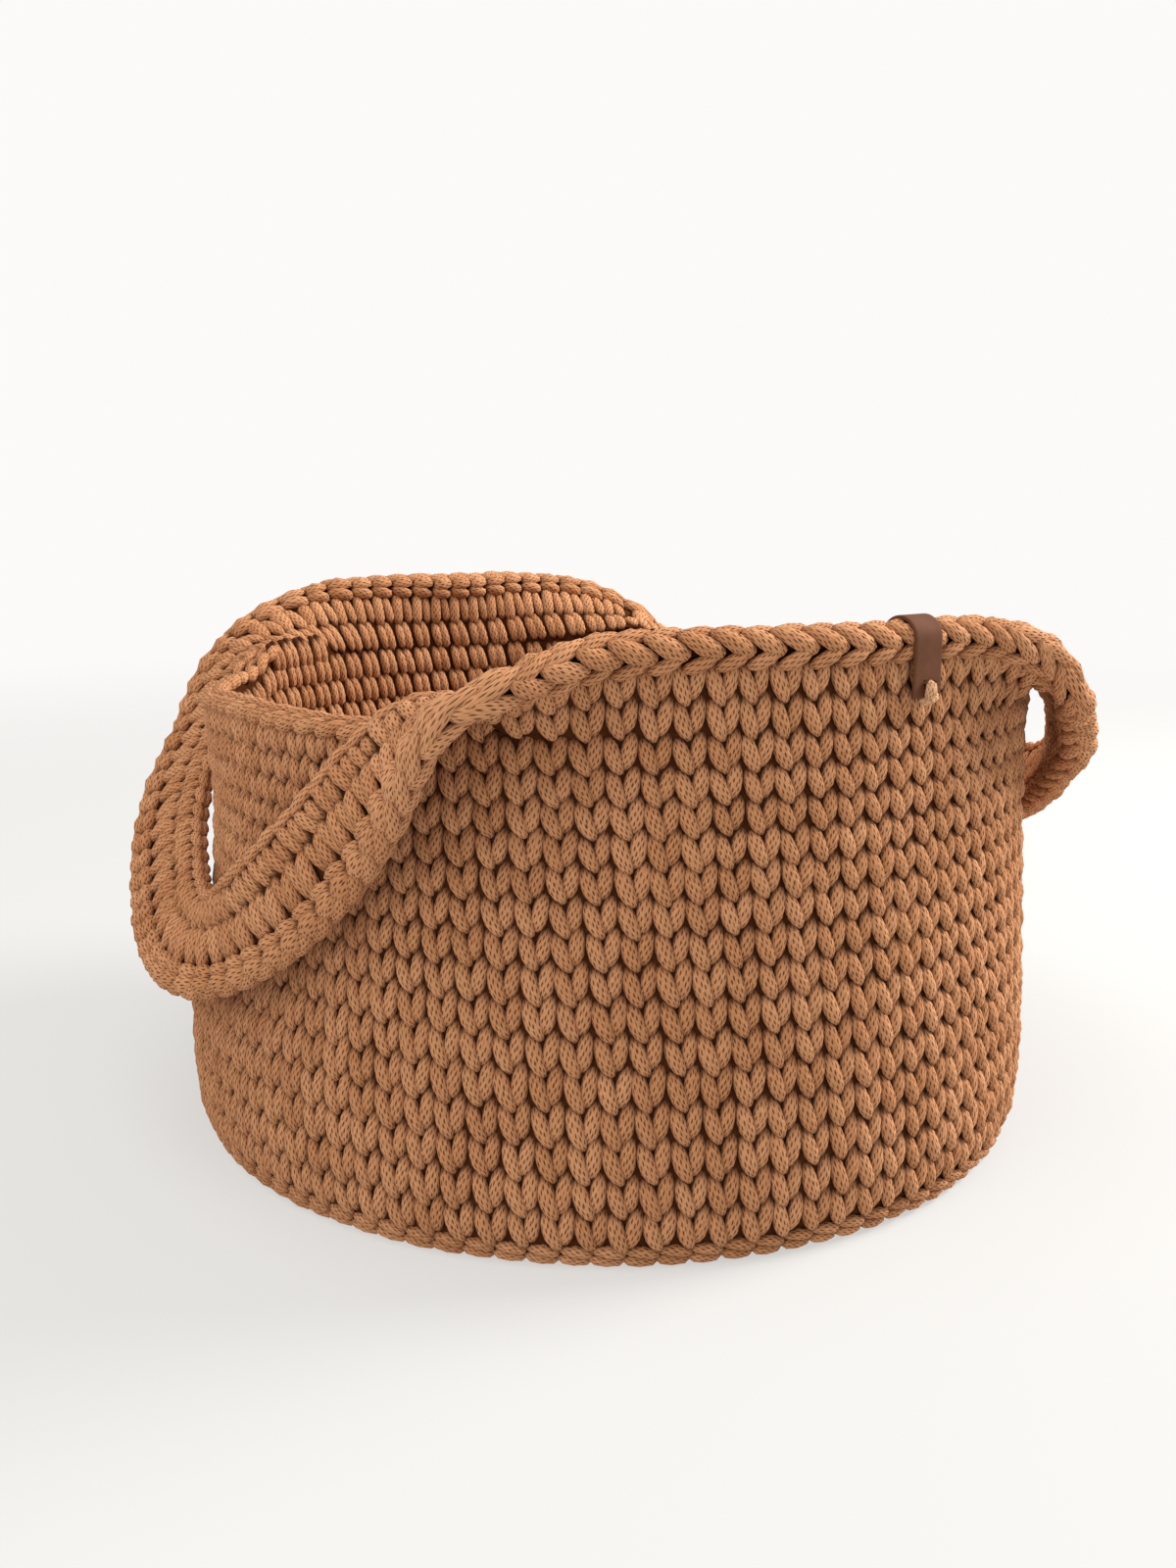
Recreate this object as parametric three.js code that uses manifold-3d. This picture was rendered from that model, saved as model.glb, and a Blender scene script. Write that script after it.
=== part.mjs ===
// A round storage basket crocheted from thick cotton cord, with two strap handles and a leather label.
// Millimetres, +Z up. The origin is the middle of the underside. The front is at -Y, and the straps
// hang outside the wall at -X (left) and +X (right).

import * as THREE from 'three';
import Module from 'manifold-3d';
import { mergeVertices } from 'three/addons/utils/BufferGeometryUtils.js';

const wasm = await Module();
wasm.setup();

// Driving dimensions: the cord and the crochet fabric it makes.
const cordDiameter = 5;
const fabricThickness = 11;
const rowPitch = 13.4;
const rowGroove = 2;
const seatGap = 0.3;

// The body of the basket.
const footRadius = 204;
const bellyRadius = 209;
const bellyHeight = 30;
const rimRadius = 203;
const baseEdgeHeight = 9;
const wallRows = 15;
const looseRounds = 7;
const bandRows = 2;
const rimChainHeight = 13;
const rimChainThickness = 13;

// The handle slots, each centred on -X or +X, and how far the slack wall below each one is drawn in.
const slotHalfAngle = 47;
const leftDrawIn = { waist: 12, top: 7.5 };
const rightDrawIn = { waist: 7, top: 3 };
const drawInHalfAngle = 50;
const drawInLow = 60;
const drawInHigh = 105;
const waistHigh = 150;

// How far the wall's slack top edge sags inside each slot, at its front half and at its back half.
const leftSag = { front: 3.3, back: 10 };
const rightSag = { front: 12, back: 5 };
const sagLow = 130;
const sagHalfAngle = 38;
const sagMiddle = -5;
const sagBlend = 15;

// The leather label, folded over the front rim, and the cord that ties it on.
const labelAngle = 11;
const labelWidth = 15;
const labelLeg = 29;
const labelThickness = 1.6;
const labelHoleRadius = 2.2;
const labelHoleInset = 4;
const tieDiameter = 3.6;

// How finely round shapes are cut up.
const roundSteps = 52;
const stepsPerStation = 3;

const fullTurn = 360;
const DEGREE = (2 * Math.PI) / fullTurn;
const wallTop = baseEdgeHeight + wallRows * rowPitch;
const bandHeight = bandRows * rowPitch;
const stripWidth = bandHeight + seatGap + rimChainHeight;
const rimTop = wallTop + seatGap + stripWidth;

// Each strap as it hangs. A station has its turn away from the strap's middle as a share of the slot's
// half angle (front positive), how far the strip's mid line stands out from the wall there, and its roll:
// 0 is upright with the rim chain on top, 90 lies flat outwards, 180 is turned right over. From its
// lowest point the strap climbs to its top turn at either end. Beside it the band leans outwards and
// curls over towards it, at turns given in degrees.
const leftStrap = {
  side: -1,
  lowest: 99,
  frontHang: 118,
  backHang: 110,
  bend: 2,
  frontTop: 1.03,
  backTop: 1.022,
  frontRoot: [
    { angle: 80, lean: 0, curl: 0 },
    { angle: 72, lean: 4, curl: 8 },
    { angle: 64, lean: 12, curl: 20 },
    { angle: 57, lean: 38, curl: 24 },
  ],
  stations: [
    { turn: 1.07, out: 20, roll: 92, curl: 0 },
    { turn: 0.97, out: 21, roll: 128, curl: 0 },
    { turn: 0.87, out: 17, roll: 154, curl: 0 },
    { turn: 0.77, out: 12, roll: 168, curl: 0 },
    { turn: 0.64, out: 9.5, roll: 178, curl: 0 },
    { turn: 0.5, out: 8, roll: 180, curl: 0 },
    { turn: 0.3, out: 6.5, roll: 168, curl: 0 },
    { turn: 0.1, out: 7.5, roll: 152, curl: 0 },
    { turn: -0.1, out: 9, roll: 143, curl: 0 },
    { turn: -0.3, out: 12.3, roll: 134, curl: 0 },
    { turn: -0.5, out: 18.5, roll: 126, curl: 0 },
    { turn: -0.68, out: 23.2, roll: 119, curl: 0 },
    { turn: -0.84, out: 23, roll: 118, curl: 0 },
    { turn: -0.96, out: 24.5, roll: 114, curl: 0 },
    { turn: -1.07, out: 21, roll: 94, curl: 0 },
  ],
  backRoot: [
    { angle: 57, lean: 50, curl: 30 },
    { angle: 64, lean: 20, curl: 30 },
    { angle: 72, lean: 8, curl: 16 },
    { angle: 82, lean: 2, curl: 4 },
  ],
};
const rightStrap = {
  side: 1,
  lowest: 135,
  frontHang: 78,
  backHang: 60.2,
  bend: 1.8,
  frontTop: 1.03,
  backTop: 1.03,
  frontRoot: [
    { angle: 76, lean: 0, curl: 0 },
    { angle: 68, lean: 0, curl: 27 },
    { angle: 61, lean: 8, curl: 72 },
    { angle: 55, lean: 33, curl: 125 },
  ],
  stations: [
    { turn: 1.06, out: 15, roll: 135, curl: 90 },
    { turn: 0.97, out: 16.3, roll: 144, curl: 46 },
    { turn: 0.87, out: 18.2, roll: 157, curl: 12 },
    { turn: 0.75, out: 17, roll: 178, curl: 0 },
    { turn: 0.6, out: 18, roll: 197, curl: 0 },
    { turn: 0.45, out: 21, roll: 210, curl: 0 },
    { turn: 0.25, out: 25.5, roll: 214, curl: 0 },
    { turn: 0, out: 29, roll: 204, curl: 0 },
    { turn: -0.25, out: 29.8, roll: 187, curl: 0 },
    { turn: -0.5, out: 29.2, roll: 167, curl: 0 },
    { turn: -0.7, out: 28.8, roll: 147, curl: 0 },
    { turn: -0.86, out: 27.4, roll: 128, curl: 0 },
    { turn: -1, out: 26.5, roll: 111, curl: 0 },
    { turn: -1.12, out: 21, roll: 91, curl: 0 },
  ],
  backRoot: [
    { angle: 59, lean: 84, curl: 0 },
    { angle: 66, lean: 51, curl: 8 },
    { angle: 74, lean: 26, curl: 12 },
    { angle: 82, lean: 10, curl: 8 },
    { angle: 90, lean: 0, curl: 0 },
  ],
};

const smooth = (low, high, value) => THREE.MathUtils.smoothstep(value, low, high);

// The wall's outer radius: it spreads from the foot to a low belly and narrows gently to the rim.
function plainRadius(z) {
  if (z < bellyHeight) {
    return bellyRadius - (bellyRadius - footRadius) * (1 - z / bellyHeight) ** 2;
  }
  return bellyRadius - (bellyRadius - rimRadius) * smooth(bellyHeight, wallTop, z);
}

// The angle is in degrees from the front (-Y) towards +X.
function drawIn(angle, z) {
  const { waist, top } = Math.sin(angle * DEGREE) < 0 ? leftDrawIn : rightDrawIn;
  const depth = waist + (top - waist) * smooth(waistHigh, wallTop, z);
  const away = Math.acos(Math.abs(Math.sin(angle * DEGREE))) / DEGREE;
  return depth * (1 - smooth(0, drawInHalfAngle, away)) * smooth(drawInLow, drawInHigh, z);
}

// How far a height near the wall's top comes down inside a slot.
function sag(angle, z) {
  const across = Math.sin(angle * DEGREE);
  const turn = Math.asin(Math.min(1, Math.cos(angle * DEGREE))) / DEGREE;
  const { front, back } = across < 0 ? leftSag : rightSag;
  const depth = THREE.MathUtils.lerp(back, front, smooth(sagMiddle - sagBlend, sagMiddle + sagBlend, turn));
  const fade = 1 - smooth(sagHalfAngle, slotHalfAngle, Math.abs(turn));
  return depth * fade * smooth(sagLow, wallTop, z);
}

const outward = (angle) => new THREE.Vector3(Math.sin(angle * DEGREE), -Math.cos(angle * DEGREE), 0);
const UP = new THREE.Vector3(0, 0, 1);

function wallPoint(angle, inset, z) {
  const radius = plainRadius(z) - drawIn(angle, z) - inset;
  return outward(angle).multiplyScalar(radius).addScaledVector(UP, z - sag(angle, z));
}

// Joins rings of points into one closed solid, capped at both ends unless the rings close on themselves.
function loft(rings, closed) {
  const count = rings[0].length;
  const positions = rings.flat().flatMap((point) => point.toArray());
  const index = [];
  const last = closed ? rings.length : rings.length - 1;
  for (let i = 0; i < last; i += 1) {
    const here = i * count;
    const next = ((i + 1) % rings.length) * count;
    for (let j = 0; j < count; j += 1) {
      const k = (j + 1) % count;
      index.push(here + j, next + j, next + k, here + j, next + k, here + k);
    }
  }
  if (!closed) {
    capEnd(rings[0], 0, index, false);
    capEnd(rings[rings.length - 1], (rings.length - 1) * count, index, true);
  }
  const geometry = new THREE.BufferGeometry();
  geometry.setAttribute('position', new THREE.Float32BufferAttribute(positions, 3));
  geometry.setIndex(index);
  return facesOut(geometry);
}

// Covers an end ring with triangles, worked out in the ring's own plane.
function capEnd(ring, offset, index, reversed) {
  const normal = new THREE.Vector3();
  ring.forEach((point, i) => {
    normal.add(new THREE.Vector3().crossVectors(point, ring[(i + 1) % ring.length]));
  });
  normal.normalize();
  const across = ring[1].clone().sub(ring[0]);
  across.addScaledVector(normal, -across.dot(normal)).normalize();
  const along = new THREE.Vector3().crossVectors(normal, across);
  const flat = ring.map((point) => new THREE.Vector2(point.dot(across), point.dot(along)));
  THREE.ShapeUtils.triangulateShape(flat, []).forEach(([a, b, c]) => {
    const face = reversed ? [a, c, b] : [a, b, c];
    index.push(...face.map((corner) => corner + offset));
  });
}

// Turns a closed mesh the right way round if its enclosed volume comes out negative.
function facesOut(geometry) {
  const place = geometry.getAttribute('position');
  const index = geometry.getIndex().array;
  const [a, b, c] = [new THREE.Vector3(), new THREE.Vector3(), new THREE.Vector3()];
  let volume = 0;
  for (let i = 0; i < index.length; i += 3) {
    a.fromBufferAttribute(place, index[i]);
    b.fromBufferAttribute(place, index[i + 1]);
    c.fromBufferAttribute(place, index[i + 2]);
    volume += a.dot(b.cross(c));
  }
  if (volume < 0) {
    index.reverse();
  }
  return geometry;
}

function toSolid(geometry) {
  const bare = geometry.index ? geometry.clone() : geometry;
  bare.deleteAttribute('normal');
  bare.deleteAttribute('uv');
  const merged = mergeVertices(bare, 1e-4);
  return new wasm.Manifold(new wasm.Mesh({
    numProp: 3,
    vertProperties: new Float32Array(merged.getAttribute('position').array),
    triVerts: new Uint32Array(merged.getIndex().array),
  }));
}

function toGeometry(solid) {
  const mesh = solid.getMesh();
  const geometry = new THREE.BufferGeometry();
  geometry.setAttribute('position', new THREE.Float32BufferAttribute(mesh.vertProperties, 3));
  geometry.setIndex(new THREE.Uint32BufferAttribute(mesh.triVerts, 1));
  return geometry;
}

// A round or oval outline centred on (mid, 0), with a corner pointing each way along x.
function ovalOutline(width, height, sides, mid = 0) {
  const points = [];
  for (let i = 0; i < sides; i += 1) {
    const turn = (i * 2 * Math.PI) / sides;
    points.push(new THREE.Vector2(mid + (Math.cos(turn) * width) / 2, (Math.sin(turn) * height) / 2));
  }
  return points;
}

// The base: a flat round, and the turning round outside it that the wall stands on.
function baseDisc() {
  const corner = cordDiameter / 2;
  const radius = (z) => plainRadius(z) - fabricThickness - seatGap;
  const profile = [
    new THREE.Vector2(0, 0),
    new THREE.Vector2(radius(0) - corner, 0),
    new THREE.Vector2(radius(corner), corner),
    new THREE.Vector2(radius(baseEdgeHeight - corner), baseEdgeHeight - corner),
    new THREE.Vector2(radius(baseEdgeHeight) - corner, baseEdgeHeight),
    new THREE.Vector2(0, baseEdgeHeight),
  ];
  return new THREE.LatheGeometry(profile, roundSteps).rotateX(Math.PI / 2);
}

function baseEdgeRound() {
  const corner = cordDiameter / 2;
  const outline = [
    { inset: corner, z: 0 },
    { inset: 0, z: corner },
    { inset: 0, z: baseEdgeHeight - corner },
    { inset: corner, z: baseEdgeHeight },
    { inset: fabricThickness - corner, z: baseEdgeHeight },
    { inset: fabricThickness, z: baseEdgeHeight - corner },
    { inset: fabricThickness, z: corner },
    { inset: fabricThickness - corner, z: 0 },
  ];
  return ringSolid(outline);
}

// Carries an outline of insets and heights once round the basket.
function ringSolid(outline) {
  const rings = [];
  for (let i = 0; i < roundSteps; i += 1) {
    const angle = (i * fullTurn) / roundSteps;
    rings.push(outline.map(({ inset, z }) => wallPoint(angle, inset, z)));
  }
  return loft(rings, true);
}

// The height after so many rounds of the wall. Its lower rounds are worked looser, so they are taller.
function roundHeight(rounds) {
  return baseEdgeHeight + rounds * rowPitch + looseRounds * Math.sin((rounds * Math.PI) / wallRows);
}

// The wall: one soft rib outside for each round of stitches.
function wall() {
  const low = baseEdgeHeight + seatGap;
  const outline = [];
  for (let row = 0; row < wallRows; row += 1) {
    outline.push({ inset: rowGroove, z: row === 0 ? low : roundHeight(row) });
    outline.push({ inset: 0, z: roundHeight(row + 0.5) });
  }
  outline.push({ inset: rowGroove, z: wallTop });
  const innerSteps = 4;
  for (let i = 0; i <= innerSteps; i += 1) {
    outline.push({ inset: fabricThickness, z: wallTop + ((low - wallTop) * i) / innerSteps });
  }
  return ringSolid(outline);
}

// The chain along the top of the wall inside one slot.
function slotEdge(side) {
  const outline = ovalOutline(fabricThickness - rowGroove, cordDiameter, 8);
  const mid = (fabricThickness + rowGroove) / 2;
  const rings = [];
  const step = fullTurn / roundSteps;
  const middle = side * 90;
  const angles = [middle - slotHalfAngle, middle + slotHalfAngle];
  for (let i = -roundSteps / 2; i < roundSteps / 2; i += 1) {
    if (Math.abs(i * step - middle) < slotHalfAngle - 1) {
      angles.push(i * step);
    }
  }
  angles.sort((a, b) => a - b);
  angles.forEach((angle) => {
    rings.push(outline.map((point) => wallPoint(
      angle,
      mid + point.x,
      wallTop + seatGap + cordDiameter / 2 + point.y,
    )));
  });
  return loft(rings, false);
}

// The strip is what goes on above the wall: bands between the slots, straps across them. A frame on it
// has the mid line's place, the direction across the strip to the rim chain, and the way through it
// from the outer face to the inner one. Its curl is how far it bends outwards over its whole width.
function bent(x, y, curl) {
  const fromMid = x - stripWidth / 2;
  if (Math.abs(curl) < 1e-3) {
    return { x: fromMid, y };
  }
  const radius = stripWidth / (curl * DEGREE);
  const turn = fromMid / radius;
  return { x: (radius + y) * Math.sin(turn), y: (radius + y) * Math.cos(turn) - radius };
}

function leanFrame(angle, lean, curl) {
  const out = outward(angle);
  const tilt = (lean + curl / 2) * DEGREE;
  const across = UP.clone().multiplyScalar(Math.cos(tilt)).addScaledVector(out, Math.sin(tilt));
  const through = UP.clone().multiplyScalar(Math.sin(tilt)).addScaledVector(out, -Math.cos(tilt));
  const foot = bent(0, -fabricThickness / 2, curl);
  const place = out.multiplyScalar(rimRadius).addScaledVector(UP, wallTop + seatGap);
  place.addScaledVector(across, -foot.x).addScaledVector(through, -foot.y);
  return { place, across, curl };
}

function strapPlace(strap, turn, out) {
  const angle = strap.side * (90 - turn * slotHalfAngle);
  const [hang, top] = turn > 0 ? [strap.frontHang, strap.frontTop] : [strap.backHang, strap.backTop];
  const height = strap.lowest + hang * Math.min(Math.abs(turn), top) ** strap.bend;
  return outward(angle).multiplyScalar(plainRadius(height) + out).addScaledVector(UP, height);
}

function strapFrames(strap) {
  const places = strap.stations.map(({ turn, out }) => strapPlace(strap, turn, out));
  const path = new THREE.CatmullRomCurve3(places);
  return strap.stations.map(({ turn, roll, curl }, i) => {
    const along = path.getTangent(i / (places.length - 1));
    const out = outward(strap.side * (90 - turn * slotHalfAngle));
    out.addScaledVector(along, -out.dot(along)).normalize();
    const upright = new THREE.Vector3().crossVectors(along, out).multiplyScalar(-strap.side);
    const across = upright.multiplyScalar(Math.cos(roll * DEGREE));
    across.addScaledVector(out, Math.sin(roll * DEGREE));
    return { place: places[i], across, curl };
  });
}

// All the way round, seen from above clockwise: front band, left strap, back band, right strap.
function stripStations() {
  const frames = [];
  const bandSteps = 6;
  const leftAngle = (turn) => -90 + turn;
  const rightAngle = (turn) => 90 - turn;
  const addBand = (from, to) => {
    for (let i = 1; i < bandSteps; i += 1) {
      frames.push(leanFrame(from + ((to - from) * i) / bandSteps, 0, 0));
    }
  };
  const addRoot = (root, toAngle) => {
    root.forEach(({ angle, lean, curl }) => frames.push(leanFrame(toAngle(angle), lean, curl)));
  };
  const marks = {};
  addBand(rightAngle(rightStrap.frontRoot[0].angle), leftAngle(leftStrap.frontRoot[0].angle));
  addRoot(leftStrap.frontRoot, leftAngle);
  marks.leftStart = frames.length;
  frames.push(...strapFrames(leftStrap));
  marks.leftEnd = frames.length - 1;
  addRoot(leftStrap.backRoot, (turn) => leftAngle(-turn));
  const backLeft = leftAngle(-leftStrap.backRoot[leftStrap.backRoot.length - 1].angle);
  const backRight = rightAngle(-rightStrap.backRoot[rightStrap.backRoot.length - 1].angle);
  addBand(backLeft, backRight - fullTurn);
  addRoot([...rightStrap.backRoot].reverse(), (turn) => rightAngle(-turn));
  marks.rightStart = frames.length;
  frames.push(...strapFrames(rightStrap).reverse());
  marks.rightEnd = frames.length - 1;
  addRoot([...rightStrap.frontRoot].reverse(), rightAngle);
  return { frames, marks };
}

const { frames: stations, marks } = stripStations();
const midLine = new THREE.CatmullRomCurve3(stations.map(({ place }) => place), true);
const rimLine = new THREE.CatmullRomCurve3(
  stations.map(({ place, across }) => place.clone().addScaledVector(across, stripWidth / 2)),
  true,
);

function stripFrame(station) {
  const share = (station / stations.length + 1) % 1;
  const place = midLine.getPoint(share);
  const along = midLine.getTangent(share);
  const across = rimLine.getPoint(share).sub(place);
  across.addScaledVector(along, -across.dot(along)).normalize();
  const through = new THREE.Vector3().crossVectors(along, across);
  const before = Math.floor(share * stations.length + 1e-6);
  const blend = smooth(0, 1, share * stations.length - before);
  const next = stations[(before + 1) % stations.length];
  const curl = THREE.MathUtils.lerp(stations[before % stations.length].curl, next.curl, blend);
  return { place, across, through, curl };
}

// Carries an outline along part of the strip. Its x runs across the strip from the row base line, its y
// runs through the fabric from the middle of its thickness.
function stripSolid(outline, from, to) {
  const steps = Math.round((to - from) * stepsPerStation);
  const rings = [];
  for (let i = 0; i <= steps; i += 1) {
    const { place, across, through, curl } = stripFrame(from + ((to - from) * i) / steps);
    rings.push(outline.map((point) => {
      const { x, y } = bent(point.x, point.y, curl);
      return place.clone().addScaledVector(across, x).addScaledVector(through, y);
    }));
  }
  return loft(rings, false);
}

function rowsOutline() {
  const half = fabricThickness / 2;
  const corner = rowGroove;
  const tip = half / 3;
  const outline = [new THREE.Vector2(0, tip), new THREE.Vector2(0, -tip)];
  for (let row = 0; row < bandRows; row += 1) {
    const edge = row === bandRows - 1 ? -tip : corner - half;
    outline.push(new THREE.Vector2((row + 0.5) * rowPitch, -half));
    outline.push(new THREE.Vector2((row + 1) * rowPitch, edge));
  }
  for (let row = bandRows; row > 0; row -= 1) {
    const edge = row === bandRows ? tip : half - corner;
    outline.push(new THREE.Vector2(row * rowPitch, edge));
    outline.push(new THREE.Vector2((row - 0.5) * rowPitch, half));
  }
  return outline;
}

function rimOutline() {
  const mid = bandHeight + seatGap + rimChainHeight / 2;
  return ovalOutline(rimChainHeight, rimChainThickness, 10, mid);
}

function foundationOutline() {
  const mid = -seatGap - cordDiameter / 2;
  return ovalOutline(cordDiameter, fabricThickness - 2 * rowGroove, 6, mid);
}

// A strap ends, and a band begins, at an upright plane through the slot's corner that faces front or
// back. The strap turns about a line square to that plane, so the two never meet as it is lifted.
const cutDistance = rimRadius * Math.sin(slotHalfAngle * DEGREE);

function keepBetween(geometry, low, high) {
  const size = 4 * bellyRadius;
  const slab = new THREE.BoxGeometry(size, high - low, size).translate(0, (low + high) / 2, 0);
  return toGeometry(toSolid(geometry).intersect(toSolid(slab)));
}

const pastCut = 3;
const frontBandSpan = [marks.rightEnd - stations.length - pastCut, marks.leftStart + pastCut];
const backBandSpan = [marks.leftEnd - pastCut, marks.rightStart + pastCut];
const leftSpan = [marks.leftStart - pastCut, marks.leftEnd + pastCut];
const rightSpan = [marks.rightStart - pastCut, marks.rightEnd + pastCut];
const beyond = 2 * bellyRadius;

function bandPiece(outline, span) {
  const solid = stripSolid(outline, ...span);
  const cut = cutDistance + seatGap / 2;
  return span === frontBandSpan ? keepBetween(solid, -beyond, -cut) : keepBetween(solid, cut, beyond);
}

function strapPiece(outline, span) {
  const cut = cutDistance - seatGap / 2;
  return keepBetween(stripSolid(outline, ...span), -cut, cut);
}

// The label: a strip of leather folded over the rim, its two legs lying on the band, with a hole near
// the ends. It is drawn in its own frame: x along the rim, y outwards, z up from the rim's top.
const labelClearance = 0.7;
const labelDepth = Math.max(rimChainThickness, fabricThickness) / 2 + labelClearance;

function labelGeometry() {
  const inner = labelDepth;
  const outer = inner + labelThickness;
  const low = rimTop - labelLeg;
  const turn = rimTop + labelClearance - inner;
  const shape = new THREE.Shape();
  shape.moveTo(outer, low);
  shape.lineTo(outer, turn);
  shape.absarc(0, turn, outer, 0, Math.PI, false);
  shape.lineTo(-outer, low);
  shape.lineTo(-inner, low);
  shape.lineTo(-inner, turn);
  shape.absarc(0, turn, inner, Math.PI, 0, true);
  shape.lineTo(inner, low);
  shape.closePath();
  const body = new THREE.ExtrudeGeometry(shape, {
    depth: labelWidth,
    bevelEnabled: false,
    curveSegments: 8,
  });
  body.translate(0, 0, -labelWidth / 2).rotateX(Math.PI / 2).rotateZ(-Math.PI / 2);
  const hole = new THREE.CylinderGeometry(labelHoleRadius, labelHoleRadius, 4 * outer, 12);
  hole.translate(0, 0, low + labelHoleInset);
  return toGeometry(toSolid(body).subtract(toSolid(hole)));
}

// The tie: a stub of cord that stands in the label's front hole and ends in a knot outside it.
function tieGeometry() {
  const inner = labelDepth;
  const knot = tieDiameter * 0.62;
  const outline = [
    new THREE.Vector2(0, inner),
    new THREE.Vector2(tieDiameter / 2, inner),
    new THREE.Vector2(tieDiameter / 2, inner + labelThickness + seatGap),
    new THREE.Vector2(knot * 1.5, inner + labelThickness + seatGap + knot * 0.5),
    new THREE.Vector2(knot * 1.5, inner + labelThickness + seatGap + knot * 1.5),
    new THREE.Vector2(0, inner + labelThickness + seatGap + knot * 2),
  ];
  const knotted = new THREE.LatheGeometry(outline, 12);
  return knotted.rotateX(Math.PI).translate(0, 0, rimTop - labelLeg + labelHoleInset);
}

// Colours and finishes, one material per piece.
function cotton(shade = 1) {
  const color = new THREE.Color(0.62, 0.4, 0.25).multiplyScalar(shade);
  return new THREE.MeshStandardMaterial({ color, roughness: 0.92, metalness: 0 });
}

function leather() {
  return new THREE.MeshStandardMaterial({ color: new THREE.Color(0.42, 0.2, 0.1), roughness: 0.5, metalness: 0 });
}

const basket = new THREE.Group();

function add(name, geometry, material, parent = basket) {
  const mesh = new THREE.Mesh(geometry, material);
  mesh.name = name;
  parent.add(mesh);
}

add('base_disc', baseDisc(), cotton(0.9));
add('base_edge_round', baseEdgeRound(), cotton(0.85));
add('wall', wall(), cotton());
add('left_slot_edge', slotEdge(-1), cotton());
add('right_slot_edge', slotEdge(1), cotton());
add('front_band', bandPiece(rowsOutline(), frontBandSpan), cotton());
add('back_band', bandPiece(rowsOutline(), backBandSpan), cotton());
add('front_rim_chain', bandPiece(rimOutline(), frontBandSpan), cotton(1.05));
add('back_rim_chain', bandPiece(rimOutline(), backBandSpan), cotton(1.05));
add('left_strap', strapPiece(rowsOutline(), leftSpan), cotton());
add('left_strap_rim_chain', strapPiece(rimOutline(), leftSpan), cotton(1.05));
add('left_strap_foundation', strapPiece(foundationOutline(), leftSpan), cotton(0.95));
add('right_strap', strapPiece(rowsOutline(), rightSpan), cotton());
add('right_strap_rim_chain', strapPiece(rimOutline(), rightSpan), cotton(1.05));
add('right_strap_foundation', strapPiece(foundationOutline(), rightSpan), cotton(0.95));

// The label and its tie sit in a group turned to their place on the front rim.
const labelGroup = new THREE.Group();
labelGroup.rotation.z = labelAngle * DEGREE;
const labelSeat = new THREE.Group();
labelSeat.position.y = -(rimRadius - fabricThickness / 2);
labelGroup.add(labelSeat);
basket.add(labelGroup);
add('label', labelGeometry(), leather(), labelSeat);
add('label_tie', tieGeometry(), cotton(1.1), labelSeat);

export default basket;
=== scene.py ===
# %% [markdown]
# # A storage basket crocheted from thick cotton cord
# The real basket is one long cord of soft knitted cotton, looped round and round into stitches. Its
# wall shows rows of stacked V's outside and rows of rounded bars inside. A thick chain finishes the
# rim, and on two sides the last rounds leave the wall and become a drooping strap handle. So this
# scene models single stitches, lays them out as flat fabric, and then bends the fabric into place.

import math

import bmesh
import bpy
import numpy as np
from mathutils import Matrix, Vector


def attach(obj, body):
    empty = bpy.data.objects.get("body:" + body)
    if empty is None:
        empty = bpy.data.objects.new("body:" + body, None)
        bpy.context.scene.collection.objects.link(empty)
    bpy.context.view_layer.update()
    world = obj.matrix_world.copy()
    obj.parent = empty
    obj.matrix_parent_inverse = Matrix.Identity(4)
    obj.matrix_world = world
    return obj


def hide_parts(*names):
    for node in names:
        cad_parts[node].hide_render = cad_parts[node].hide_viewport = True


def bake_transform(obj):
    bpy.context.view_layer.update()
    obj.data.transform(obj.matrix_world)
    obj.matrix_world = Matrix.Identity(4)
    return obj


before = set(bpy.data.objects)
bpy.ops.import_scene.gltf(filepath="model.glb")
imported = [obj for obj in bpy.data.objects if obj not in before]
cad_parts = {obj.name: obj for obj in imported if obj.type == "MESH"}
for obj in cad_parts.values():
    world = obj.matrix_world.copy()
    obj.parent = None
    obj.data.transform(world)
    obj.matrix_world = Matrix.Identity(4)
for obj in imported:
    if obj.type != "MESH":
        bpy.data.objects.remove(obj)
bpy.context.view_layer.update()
MM = 0.001

# %% [markdown]
# ## The camera
# The photograph looks slightly down on the basket from about seventy centimetres, a little round to
# its left, so that one strap hangs towards us and the other shows beyond the right edge.

# %% Camera
FRAME_HEIGHT, FOCAL_PIXELS, FILM_HEIGHT = 1600, 1463, 36
scene = bpy.context.scene


def placed(name, data):
    """An object with this data, in the scene."""
    thing = bpy.data.objects.new(name, data)
    scene.collection.objects.link(thing)
    return thing


camera_data = bpy.data.cameras.new("camera")
camera = placed("camera", camera_data)
scene.camera = camera
camera_turn = math.radians(-26)
camera_reach, camera_height = 717.5 * MM, 297.9 * MM
camera.location = (camera_reach * math.sin(camera_turn), -camera_reach * math.cos(camera_turn),
                   camera_height)
look_down = math.radians(11.36)
look_aside = math.radians(0.742)
camera.rotation_euler = (math.pi / 2 - look_down, 0, camera_turn + look_aside)
camera_data.sensor_fit = "VERTICAL"
camera_data.sensor_height = FILM_HEIGHT
camera_data.lens = FILM_HEIGHT * FOCAL_PIXELS / FRAME_HEIGHT
scene.view_settings.view_transform = "Standard"
print("camera at", tuple(round(v, 3) for v in camera.location))

# %% [markdown]
# ## The basket's measures
# These are the same measures that the solids have, in millimetres. The wall spreads from its foot to a
# low belly and narrows gently to the rim, and where a handle slot leaves it slack it draws in a little.

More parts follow.
